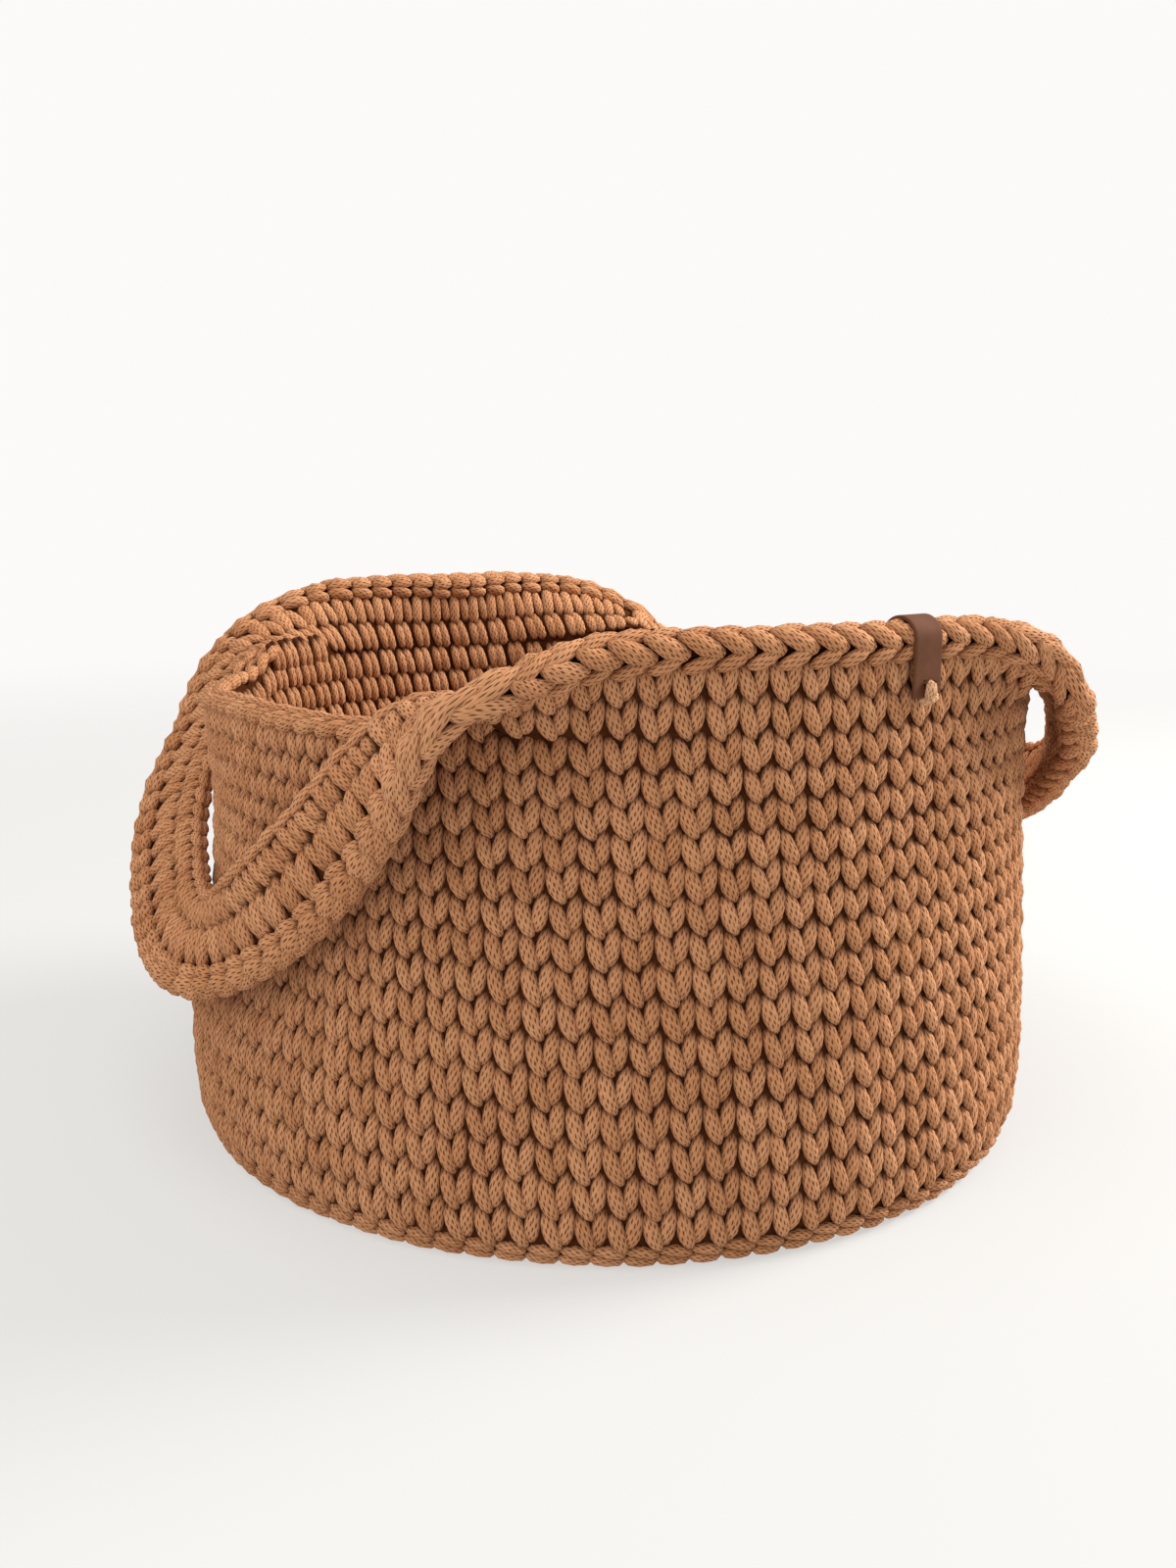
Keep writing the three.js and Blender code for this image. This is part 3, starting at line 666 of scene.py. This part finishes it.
def knitted_cord_group():
    group = bpy.data.node_groups.new("knitted cord", "ShaderNodeTree")
    scale = group.interface.new_socket(name="Gauge", in_out="INPUT", socket_type="NodeSocketFloat")
    scale.default_value = 1.0
    for name in ("Pinholes", "Fibre", "Height"):
        group.interface.new_socket(name=name, in_out="OUTPUT", socket_type="NodeSocketFloat")
    nodes, links = group.nodes, group.links
    given, out = nodes.new("NodeGroupInput"), nodes.new("NodeGroupOutput")
    uv = add_node(nodes, "UVMap", uv_map="UVMap")
    gauge = add_node(nodes, "VectorMath", operation="SCALE")
    stretch = add_node(nodes, "Mapping", {"Scale": (0.62, 0.4, 1.0)})
    turn = add_node(nodes, "Mapping", {"Rotation": (0, 0, math.radians(45))})
    cells = add_node(nodes, "TexVoronoi", {"Scale": 1.0, "Randomness": 0.28}, voronoi_dimensions="2D")
    offset = add_node(nodes, "VectorMath", operation="SUBTRACT")
    upright = add_node(nodes, "Mapping", {"Rotation": (0, 0, math.radians(-45 + PIN_LEAN))})
    slit = add_node(nodes, "VectorMath", {1: (1.9, 0.85, 0.0)}, operation="MULTIPLY")
    distance = add_node(nodes, "VectorMath", operation="LENGTH")
    pin = add_node(nodes, "MapRange", {"From Min": 0.44, "From Max": 0.16}, interpolation_type="SMOOTHSTEP")
    fibres = add_node(nodes, "Mapping", {"Scale": (2.2, 0.55, 1.0), "Rotation": (0, 0, math.radians(14))})
    fluff = add_node(nodes, "TexNoise", {"Scale": 1.0, "Detail": 4.0}, noise_dimensions="2D")
    lift = add_node(nodes, "Math", operation="SUBTRACT")
    wire(links, (uv, "UV", gauge, 0), (given, "Gauge", gauge, "Scale"), (gauge, "Vector", stretch, "Vector"),
         (stretch, "Vector", turn, "Vector"), (turn, "Vector", cells, "Vector"), (turn, "Vector", offset, 0),
         (cells, "Position", offset, 1), (offset, "Vector", upright, "Vector"), (upright, "Vector", slit, 0),
         (slit, "Vector", distance, 0), (distance, "Value", pin, "Value"), (pin, "Result", lift, 1),
         (gauge, "Vector", fibres, "Vector"), (fibres, "Vector", fluff, "Vector"), (fluff, "Fac", lift, 0),
         (pin, "Result", out, "Pinholes"), (fluff, "Fac", out, "Fibre"), (lift, "Value", out, "Height"))
    return group


KNITTED = knitted_cord_group()
print("node group", KNITTED.name, "with", len(KNITTED.nodes), "nodes")

# %% [markdown]
# The colour is a warm caramel. Each stitch has its own tone, the fibres lighten and darken it, and a painted
# shade deepens it to a red brown in the pinholes and where a strand dives into the fabric. A little sheen
# stands for the fuzz that catches light along the cord's edges.

# %% Cord materials
def new_material(name, sockets):
    """A material, its nodes and links, and its shader with these sockets set."""
    material = bpy.data.materials.new(name)
    material.use_nodes = True
    nodes, links = material.node_tree.nodes, material.node_tree.links
    return material, nodes, links, filled(nodes["Principled BSDF"], sockets)


MATT = {"Roughness": 1.0, "Specular IOR Level": 0.0}


def mix_colour(nodes, links, factor, low, high):
    mix = add_node(nodes, "Mix", data_type="RGBA")
    links.new(factor, mix.inputs["Factor"])
    for socket, value in ((mix.inputs[6], low), (mix.inputs[7], high)):
        if isinstance(value, tuple):
            socket.default_value = (*value, 1)
        else:
            links.new(value, socket)
    return mix.outputs[2]


def cord_material(name, light, deep, dark, gauge=1.0):
    material, nodes, links, shader = new_material(name, {
        "Roughness": 0.92, "Specular IOR Level": 0.08, "Sheen Weight": 0.06, "Sheen Roughness": 0.45,
        "Sheen Tint": (1.0, 0.86, 0.72, 1)})
    knit = add_node(nodes, "Group", {"Gauge": gauge}, node_tree=KNITTED)
    tone = add_node(nodes, "Attribute", attribute_name="tone")
    crease_shade = add_node(nodes, "Attribute", attribute_name="crease_shade")
    # Painted shade: deep points and pinholes darken the colour towards the third, darkest colour.
    shade = add_node(nodes, "MapRange", {"From Min": 0.06, "From Max": 0.66}, interpolation_type="SMOOTHSTEP")
    blend = add_node(nodes, "Math", {1: 0.35}, operation="MULTIPLY_ADD")
    fibre = add_node(nodes, "MapRange", {"From Min": 0.25, "From Max": 0.8, "To Max": 0.65})
    holes = add_node(nodes, "Math", {1: 0.85}, operation="MULTIPLY")
    bump = add_node(nodes, "Bump", {"Strength": 0.55, "Distance": 0.0006})
    wire(links, (tone, "Fac", blend, 0), (knit, "Fibre", fibre, "Value"), (fibre, "Result", blend, 2),
         (crease_shade, "Fac", shade, "Value"), (knit, "Pinholes", holes, 0), (knit, "Height", bump, "Height"),
         (bump, "Normal", shader, "Normal"))
    body = mix_colour(nodes, links, blend.outputs["Value"], deep, light)
    pitted = mix_colour(nodes, links, holes.outputs["Value"], body, dark)
    colour = mix_colour(nodes, links, shade.outputs["Result"], pitted, dark)
    links.new(colour, shader.inputs["Base Color"])
    return material


# The third colour of each cord is its painted shade, for creases and pinholes.
COTTON = cord_material("cotton cord", (0.71, 0.358, 0.180), (0.40, 0.162, 0.062), (0.060, 0.0135, 0.0032))


def core_shade_material():
    """Painted shade for the shadowed middle of the fabric, seen only down the gaps between strands."""
    material, nodes, links, shader = new_material("painted shade core", MATT)
    place = add_node(nodes, "TexCoord")
    cloud = add_node(nodes, "TexNoise", {"Scale": 300})
    wire(links, (place, "Object", cloud, "Vector"))
    # Painted shade: two near-black browns, clouded, for the shade seen down the gaps.
    colour = mix_colour(nodes, links, cloud.outputs["Fac"], (0.040, 0.011, 0.0035), (0.095, 0.031, 0.011))
    links.new(colour, shader.inputs["Base Color"])
    return material


CORE = core_shade_material()
print("materials", [m.name for m in (COTTON, CORE)])


# %% [markdown]
# ## The wall
# Fifteen rounds of ninety-eight stitches. The V's of each round stand on those below, drifting a little
# to one side as the work spirals. The outside and the inside are made apart and each in two pieces, and
# a thin core between them, dark with painted shade, closes the fabric.

# %% Helper: the core
CORE_THICK, CORE_FACE = 4.0, 5.0
WELD = 0.02 * MM


def core_sheet(name, columns, low, high, start, place, ring=False):
    """A thin slab between the two faces, from low to high across the fabric. A ring has no ends."""
    bm = bmesh.new()
    rows = max(2, round((high - low) / CORE_FACE))
    middle = (start + columns * STITCH / 2, (low + high) / 2, CORE_THICK / 2)
    bmesh.ops.create_grid(bm, x_segments=columns * 2, y_segments=rows, size=0.5)
    bmesh.ops.scale(bm, vec=(columns * STITCH, high - low, 1), verts=bm.verts)
    bmesh.ops.translate(bm, vec=middle, verts=bm.verts)
    bmesh.ops.solidify(bm, geom=bm.faces[:], thickness=CORE_THICK)
    if ring:
        ends = [f for f in bm.faces if abs(f.normal.x) > 0.9]
        bmesh.ops.delete(bm, geom=ends, context="FACES")
    mesh = mesh_from(bm, name)
    mesh.attributes.new("tone", "FLOAT", "POINT")
    mesh.uv_layers.new(name="UVMap")
    piece = finished(name, mesh, points_of(mesh), place, lambda co: np.ones(len(co)), CORE)
    if ring:
        bm = bmesh.new()
        bm.from_mesh(mesh)
        bmesh.ops.remove_doubles(bm, verts=bm.verts, dist=WELD)
        bmesh.ops.recalc_face_normals(bm, faces=bm.faces)
        bm.to_mesh(mesh)
        bm.free()
    return piece


# %% Wall
DRIFT = 1.1
INNER_DROP = 2.4
INNER_ROW = 14.3
INNER_TOP = WALL_TOP + GAP - 10.3


def wall_layer(name, fabric, slide, place, depth_of, seed):
    mesh, size = fabric
    co = nudged(mesh, size, seed)
    co[:, 0] += slide
    belongs(finished(name, mesh, co, place, depth_of, COTTON), "wall")


def outside_rows(name, first, count, seed):
    fabric = repeated(lambda bm: outer_v(bm, EDGE_Z + (first + 0.5) * ROW), COLUMNS, count, DRIFT)
    wall_layer(name, fabric, STITCH / 2 - first * DRIFT, wall_place, outer_depth, seed)


def inside_rows(name, below_top, count, seed):
    """Inside, the rounds look taller, and one of the fifteen is hidden in the fold to the base."""
    y = INNER_TOP - below_top * INNER_ROW
    fabric = repeated(lambda bm: inner_bars(bm, y), COLUMNS, count, DRIFT, INNER_ROW)
    wall_layer(name, fabric, 0, inside_place, inner_depth, seed)


outside_rows("wall_outside_low", 0, 8, 1)
outside_rows("wall_outside_high", 8, 7, 2)
inside_rows("wall_inside_low", 13, 7, 3)
inside_rows("wall_inside_high", 6, 7, 4)

# %% [markdown]
# Beside the left slot the strap leans away and lets us look at the wall's top, so a few more stitches
# stand there: four inside at each corner, and one V outside, which is tucked in behind the strap's root.

# %% Stitches behind the left strap's roots
ROOT_COLUMNS = 4
ROOT_UP = 0.72
TUCK_DOWN, TUCK_IN = 1.0, 1.6


def root_row(name, first_angle):
    fabric = repeated(lambda bm: inner_bars(bm, INNER_TOP + ROOT_UP * INNER_ROW), ROOT_COLUMNS)
    wall_layer(name, fabric, (first_angle / PER_COLUMN + 0.5) * STITCH, inside_place, inner_depth, 5)


def root_outside(name, angle):
    fabric = repeated(lambda bm: outer_v(bm, EDGE_Z + (WALL_ROWS + 0.5) * ROW - TUCK_DOWN), 1)
    slide = (round(angle / PER_COLUMN) + 0.5) * STITCH - (WALL_ROWS * DRIFT) % STITCH
    wall_layer(name, fabric, slide, lambda co: wall_place(co - (0, 0, TUCK_IN)), outer_depth, 6)


root_row("wall_root_front", -42)
root_row("wall_root_back", -150)
root_outside("wall_root_outside", -40)

# %% The wall's core
CORE_LOW, CORE_HIGH = EDGE_Z - 4, WALL_TOP + 2.5
belongs(core_sheet("wall_core", COLUMNS, CORE_LOW, CORE_HIGH, 0, wall_place, ring=True), "wall")


# %% [markdown]
# ## The slot edges
# Across each slot the wall ends in a small chain. It is one row of links, whose line runs along the top
# of the wall, and it comes down with the wall where that sags.

# %% Slot edges
SLOT_LINKS = 26

for side, name in ((-1, "left_slot_edge"), (1, "right_slot_edge")):
    mesh, size = repeated(slot_link, SLOT_LINKS)
    co = nudged(mesh, size, 10 + side, shift=0.2, tilt=2)
    co[:, 0] += (side * 90 / PER_COLUMN - (SLOT_LINKS - 1) / 2) * STITCH
    belongs(finished(name + "_chain", mesh, co, wall_place, chain_depth(SLOT_LINE, 4.2), COTTON), name)


# %% [markdown]
# ## Bands and straps
# The strip is worked flat in four lengths and bent into place: two bands that belong to the basket and
# two straps that hang from it. Where a strap leaves the wall the fabric turns with it as the strip bends,
# and the strap pieces are not attached to the basket. The first and last columns of each strap
# are counted from the front, and the extra columns that make a strap slack come on top.

# %% Bands and straps
LEFT_FIRST, LEFT_LAST = 8, 41 + EXTRA[0]
RIGHT_FIRST, RIGHT_LAST = 57 + EXTRA[0], 90 + sum(EXTRA)
TOTAL = COLUMNS + sum(EXTRA)
KNOTS_Y, POSTS_Y = 4.4, 18.3
BAND_CORE_LOW = -3.0


def strip_rows(name, first, last, seed, strap):
    """Columns are counted along the strip, which runs to the left, so the flat fabric starts at -last."""
    count = last - first
    inside = [(inner_bars, ROW / 2 - INNER_DROP), (inner_posts, ROW * 1.5 - INNER_DROP)]
    if strap:
        inside = [(strap_knots, KNOTS_Y), (strap_posts, POSTS_Y)]
    layers = []
    for number, (maker, y) in enumerate([(outer_v, ROW / 2), (outer_v, ROW * 1.5)] + inside):
        mesh, size = repeated(lambda bm: maker(bm, y), count)
        shift, tilt = (0.7, 9) if maker in (strap_knots, strap_posts) else (0.35, 3.5)
        co = nudged(mesh, size, seed + number, shift, tilt)
        slide = ((WALL_ROWS + number) * DRIFT) % STITCH if maker is outer_v else 0
        co[:, 0] += (-last + 0.5) * STITCH - slide
        depth_of = outer_depth if maker is outer_v else inner_depth
        layers.append(finished(name + str(number), mesh, co, strip_place, depth_of, COTTON))
    low = EDGE_LINE[0] if strap else BAND_CORE_LOW
    layers.append(core_sheet(name + "core", count, low, RIM_LINE[0] + 1.5, -last * STITCH, strip_place))
    return joined(name, layers)


def strip_chain(name, maker, line, first, last, seed, reach):
    mesh, size = repeated(maker, last - first)
    co = nudged(mesh, size, seed, shift=0.25, tilt=2)
    co[:, 0] += (-last + 0.5) * STITCH
    return finished(name, mesh, co, strip_place, chain_depth(line, reach), COTTON)


for part, side, first, last, seed in (
        ("front_band", 0, RIGHT_LAST - TOTAL, LEFT_FIRST, 20), ("left_strap", -1, LEFT_FIRST, LEFT_LAST, 30),
        ("back_band", 0, LEFT_LAST, RIGHT_FIRST, 40), ("right_strap", 1, RIGHT_FIRST, RIGHT_LAST, 50)):
    belongs(strip_rows(part + "_rows", first, last, seed, side != 0), part, side)
    rim_node = part.replace("band", "rim_chain") if side == 0 else part + "_rim_chain"
    belongs(strip_chain(part + "_rim", rim_link, RIM_LINE, first, last, seed + 5, 5.0), rim_node, side)
    if side:
        belongs(strip_chain(part + "_edge", edge_link, EDGE_LINE, first + 3, last - 3, seed + 8, 2.6),
                part + "_foundation", side)


# %% [markdown]
# ## The base
# The underside is worked in rounds from the middle, each with about six stitches more than the last. At
# the edge one turning round leads up into the wall. The same rounds show inside, on top of the base.

# %% Base
BASE_ROUNDS = 14
BASE_PITCH = 13.7
BASE_SURFACE, BASE_RELIEF = 5.5, 0.92
BASE_CORE_RADIUS, BASE_CORE_THICK = 196.6 * MM, 3 * MM


def base_face(name, underneath, seed):
    layers = []
    for number in range(BASE_ROUNDS):
        middle = (number + 0.5) * BASE_PITCH
        count = max(4, round(2 * math.pi * middle / STITCH))
        mesh, size = repeated(lambda bm: outer_v(bm, 0), count)
        co = nudged(mesh, size, seed + number)

        def place(co, middle=middle, count=count):
            turn = co[:, 0] / (count * STITCH) * 2 * np.pi
            radius = np.maximum(middle + co[:, 1] * BASE_PITCH / ROW, 0.5)
            out = co[:, 2] * BASE_RELIEF
            height = BASE_SURFACE - out if underneath else EDGE_Z - BASE_SURFACE + out
            turn = turn if underneath else -turn
            return np.stack([radius * np.sin(turn), -radius * np.cos(turn), height], axis=-1) * MM

        layers.append(finished(name + str(number), mesh, co, place, outer_depth, COTTON))
    return joined(name, layers)


def base_core():
    """A thin disc between the two faces, dark with painted shade."""
    bm = bmesh.new()
    bmesh.ops.create_circle(bm, cap_ends=True, segments=96, radius=BASE_CORE_RADIUS)
    bmesh.ops.translate(bm, verts=bm.verts, vec=(0, 0, BASE_CORE_THICK))
    bmesh.ops.solidify(bm, geom=bm.faces[:], thickness=-BASE_CORE_THICK)
    bmesh.ops.recalc_face_normals(bm, faces=bm.faces)
    mesh = mesh_from(bm, "base_core")
    mesh.materials.append(CORE)
    return placed("base_core", mesh)


belongs(base_face("base_underside", True, 100), "base_disc")
belongs(base_face("base_floor_inside", False, 130), "base_disc")
belongs(base_core(), "base_disc")

# %% [markdown]
# The turning round is a chain too. Its links wind round a line half way up the base's thickness, and two
# of their four strands show outside, under the wall's first V's.

# %% Base edge
TURN_LINE = (EDGE_Z / 2, 0.0)


def turning_link(bm):
    outer_low = [(-6.8, -2, 2.0, 0.42), (-4.4, -14, 2.9, 0.9), (0, -32, 3.1, 1.0), (4.4, -52, 2.6, 0.9),
                 (6.8, -70, 1.6, 0.42)]
    outer_high = [(-6.4, 72, 2.7, 0.42), (-3.8, 62, 3.6, 0.88), (0.4, 50, 4.1, 1.04), (4.6, 38, 3.7, 0.88),
                  (6.8, 30, 2.8, 0.42)]
    under = [(-6.8, -88, 1.4, 0.42), (-4.2, -98, 1.9, 0.9), (0, -112, 2.2, 1.0), (4.2, -128, 2.2, 0.9),
             (6.8, -140, 1.6, 0.42)]
    inner = [(-6.8, 206, 1.8, 0.42), (-4.2, 194, 2.6, 0.9), (0, 180, 2.9, 1.0), (4.2, 166, 2.6, 0.9),
             (6.8, 154, 1.8, 0.42)]
    for path in (outer_low, outer_high, under, inner):
        strand(bm, round_line(TURN_LINE, path), 5.4, 4.6, TURN_LINE)


mesh, size = repeated(turning_link, COLUMNS)
co = nudged(mesh, size, 160, shift=0.2, tilt=2)
belongs(finished("base_edge_links", mesh, co, wall_place, chain_depth(TURN_LINE, 2.8), COTTON),
        "base_edge_round")


# %% [markdown]
# ## The leather label
# A strip of leather is folded over the rim, with a hole near each end. It is cut flat, given its
# thickness, and then folded along its length.

# %% The label's measures and folding
LABEL_ANGLE = 11
LABEL_WIDTH, LABEL_LEG, LEATHER = 15.0, 29.0, 1.6
LABEL_LIFT = 0.7
LABEL_DEPTH = CHAIN / 2 + LABEL_LIFT
HOLE_IN, HOLE_RADIUS = 4, 2.2
RIM_TOP = WALL_TOP + GAP + STRIP
FOLD_Z = RIM_TOP + LABEL_LIFT - LABEL_DEPTH
LEG_FLAT = FOLD_Z - (RIM_TOP - LABEL_LEG)
ARC_FLAT = math.pi * (LABEL_DEPTH + LEATHER / 2)
LABEL_FLAT = 2 * LEG_FLAT + ARC_FLAT
print("label flat", round(LABEL_FLAT, 1), "mm")


def folded(along, across, out):
    """A point of the flat leather: along it from the middle, across it, and out from its middle layer."""
    reach = LABEL_DEPTH + LEATHER / 2 + out
    turn = np.clip(along, -ARC_FLAT / 2, ARC_FLAT / 2) / ARC_FLAT * np.pi
    down = np.abs(along) - ARC_FLAT / 2
    z = FOLD_Z + np.where(down > 0, -down, reach * np.cos(turn))
    return across, reach * np.sin(turn), z


def on_label(x, y, z):
    """From the label's own frame (x along the rim, y outwards) to the basket's."""
    sine, cosine = math.sin(math.radians(LABEL_ANGLE)), math.cos(math.radians(LABEL_ANGLE))
    radius = RIM - THICK / 2 + y
    return np.stack([radius * sine + x * cosine, -radius * cosine + x * sine, z], axis=-1) * MM


# %% [markdown]
# The leather is a dull red brown. Its colour clouds a little, and a fine cracked grain goes into the bump.

# %% Leather
def leather_material():
    material, nodes, links, shader = new_material(
        "label leather", {"Roughness": 0.8, "Specular IOR Level": 0.15})
    place = add_node(nodes, "TexCoord")
    grain = add_node(nodes, "TexVoronoi", {"Scale": 1600}, feature="DISTANCE_TO_EDGE")
    cloud = add_node(nodes, "TexNoise", {"Scale": 130, "Detail": 5})
    bump = add_node(nodes, "Bump", {"Strength": 0.25, "Distance": 0.0002})
    wire(links, (place, "Object", grain, "Vector"), (place, "Object", cloud, "Vector"),
         (grain, "Distance", bump, "Height"), (bump, "Normal", shader, "Normal"))
    colour = mix_colour(nodes, links, cloud.outputs["Fac"], (0.085, 0.030, 0.013), (0.165, 0.063, 0.029))
    links.new(colour, shader.inputs["Base Color"])
    return material


LEATHER_MATERIAL = leather_material()


# %% [markdown]
# Each hole is cut out of the flat grid roughly, and then a circle is bridged to the ragged edge, which
# makes it round. The sheet's sharp edges are bevelled before the fold.

# %% Label
HOLE_CUT, HOLE_AROUND = 2.9, 4.6


def label_piece():
    bm = bmesh.new()
    bmesh.ops.create_grid(bm, x_segments=12, y_segments=60, size=0.5)
    bmesh.ops.scale(bm, vec=(LABEL_WIDTH, LABEL_FLAT, 1), verts=bm.verts)
    for end in (-1, 1):
        middle = Vector((0, end * (LABEL_FLAT / 2 - HOLE_IN), 0))
        hole = [f for f in bm.faces if (f.calc_center_median() - middle).length < HOLE_CUT]
        bmesh.ops.delete(bm, geom=hole, context="FACES")
        rim = [e for e in bm.edges if e.is_boundary and (e.verts[0].co - middle).length < HOLE_AROUND]
        ring = bmesh.ops.create_circle(bm, segments=len(rim), radius=HOLE_RADIUS,
                                       matrix=Matrix.Translation(middle))["verts"]
        bmesh.ops.bridge_loops(bm, edges=rim + list({e for v in ring for e in v.link_edges}))
    bmesh.ops.recalc_face_normals(bm, faces=bm.faces)
    bmesh.ops.solidify(bm, geom=bm.faces[:], thickness=LEATHER)
    sharp = [e for e in bm.edges if len(e.link_faces) == 2 and e.calc_face_angle() > 0.9]
    bmesh.ops.bevel(bm, geom=sharp, offset=0.35, segments=2, profile=0.5, material=-1, affect="EDGES")
    bmesh.ops.recalc_face_normals(bm, faces=bm.faces)
    mesh = mesh_from(bm, "label")
    co = points_of(mesh)
    depth = co[:, 2] - (co[:, 2].max() + co[:, 2].min()) / 2
    mesh.vertices.foreach_set("co", on_label(*folded(co[:, 1], co[:, 0], depth)).ravel())
    mesh.materials.append(LEATHER_MATERIAL)
    for polygon in mesh.polygons:
        polygon.use_smooth = True
    mesh.update()
    return placed("label_leather", mesh)


belongs(label_piece(), "label")

# %% [markdown]
# A paler cord holds the label. It comes out of the front hole, bends down over the label's lower edge in
# a rounded end, and a second length runs off sideways under that edge.

# %% Label tie
HOLE_Z = RIM_TOP - LABEL_LEG + HOLE_IN
# Its third colour is painted shade, where the tie dips towards the leather and in its pinholes.
TIE = cord_material("tie cord", (0.76, 0.45, 0.25), (0.50, 0.25, 0.12), (0.12, 0.04, 0.015), 1.6)


def tie_place(co):
    return on_label(co[:, 0], LABEL_DEPTH + LEATHER + co[:, 2], HOLE_Z + co[:, 1])


# How deep each point of the tie lies, for its painted shade where it dips in towards the leather.
def tie_depth(co):
    return np.clip((0.2 - co[:, 2]) / 3, 0, 1)


def tie_strands(bm):
    strand(bm, [(0.0, 2.0, 0.9, 0.62), (-0.2, 0.9, 2.0, 1.04), (-0.5, -0.9, 2.6, 1.2), (-0.8, -2.8, 2.2, 1.1),
                (-0.9, -4.3, 0.9, 0.6)], 4.2, 3.5, sides=12)
    strand(bm, [(-3.4, -4.6, -1.2, 0.5), (-1.2, -5.4, 0.1, 0.95), (1.8, -5.0, 0.5, 1.0),
                (4.6, -3.9, 0.1, 0.9), (6.6, -3.0, -1.2, 0.45)], 3.6, 3.2, sides=12)


mesh, size = repeated(tie_strands, 1)
co = nudged(mesh, size, 170, shift=0, tilt=0)
belongs(finished("label_tie_cord", mesh, co, tie_place, tie_depth, TIE), "label_tie")


# %% [markdown]
# ## The floor, the backdrop and the light
# The basket stands on a near-white floor which runs into a white background. The floor's own white takes
# a shadow near the basket, and fades into a plain glow further off.

# %% Floor and background
WHITE = (0.965, 0.956, 0.939, 1)


def floor_material():
    finish = {**MATT, "Base Color": (0.55, 0.55, 0.535, 1)}
    material, nodes, links, shader = new_material("white floor", finish)
    glow = add_node(nodes, "Emission", {"Color": WHITE})
    mixed = add_node(nodes, "MixShader")
    place = add_node(nodes, "TexCoord")
    length = add_node(nodes, "VectorMath", operation="LENGTH")
    far = add_node(nodes, "MapRange", {"From Min": 0.35, "From Max": 2.2, "To Min": 0.58},
                   interpolation_type="SMOOTHSTEP")
    wire(links, (place, "Object", length, 0), (length, "Value", far, "Value"), (far, "Result", mixed, "Fac"),
         (shader, "BSDF", mixed, 1), (glow, "Emission", mixed, 2),
         (mixed, "Shader", nodes["Material Output"], "Surface"))
    return material


bm = bmesh.new()
bmesh.ops.create_grid(bm, x_segments=4, y_segments=4, size=12)
floor_mesh = mesh_from(bm, "floor")
floor_mesh.materials.append(floor_material())
floor = placed("floor", floor_mesh)

world = bpy.data.worlds.new("white room")
scene.world = world
world.use_nodes = True
nodes, links = world.node_tree.nodes, world.node_tree.links
surround = filled(nodes["Background"], {"Color": (1.0, 0.985, 0.965, 1), "Strength": 0.55})
seen = add_node(nodes, "Background", {"Color": WHITE})
ray = add_node(nodes, "LightPath")
either = add_node(nodes, "MixShader")
wire(links, (ray, "Is Camera Ray", either, "Fac"), (surround, "Background", either, 1),
     (seen, "Background", either, 2), (either, "Shader", nodes["World Output"], "Surface"))
print("floor and background", floor.name, world.name)

# %% [markdown]
# A wide soft light stands to the right like a window. A weaker one overhead lights the inside and the
# straps, and a faint one from the left keeps that side from going dark. With the bright surround they
# leave only a soft shadow on the floor.

# %% Lights
LIT_POINT = Vector((0, 0, 0.1))


def soft_light(name, place, size, power, colour):
    data = bpy.data.lights.new(name, "AREA")
    data.shape, data.size, data.energy, data.color = "DISK", size, power, colour
    lamp = placed(name, data)
    lamp.location = place
    lamp.rotation_euler = (LIT_POINT - Vector(place)).to_track_quat("-Z", "Y").to_euler()
    print("light", name, power, "W")


soft_light("window", (1.7, -0.3, 1.25), 0.9, 62, (1.0, 0.98, 0.95))
soft_light("overhead", (-0.5, -0.3, 2.2), 1.5, 20, (1.0, 0.99, 0.97))
soft_light("left fill", (-1.7, -0.5, 0.9), 1.2, 8, (1.0, 0.98, 0.95))
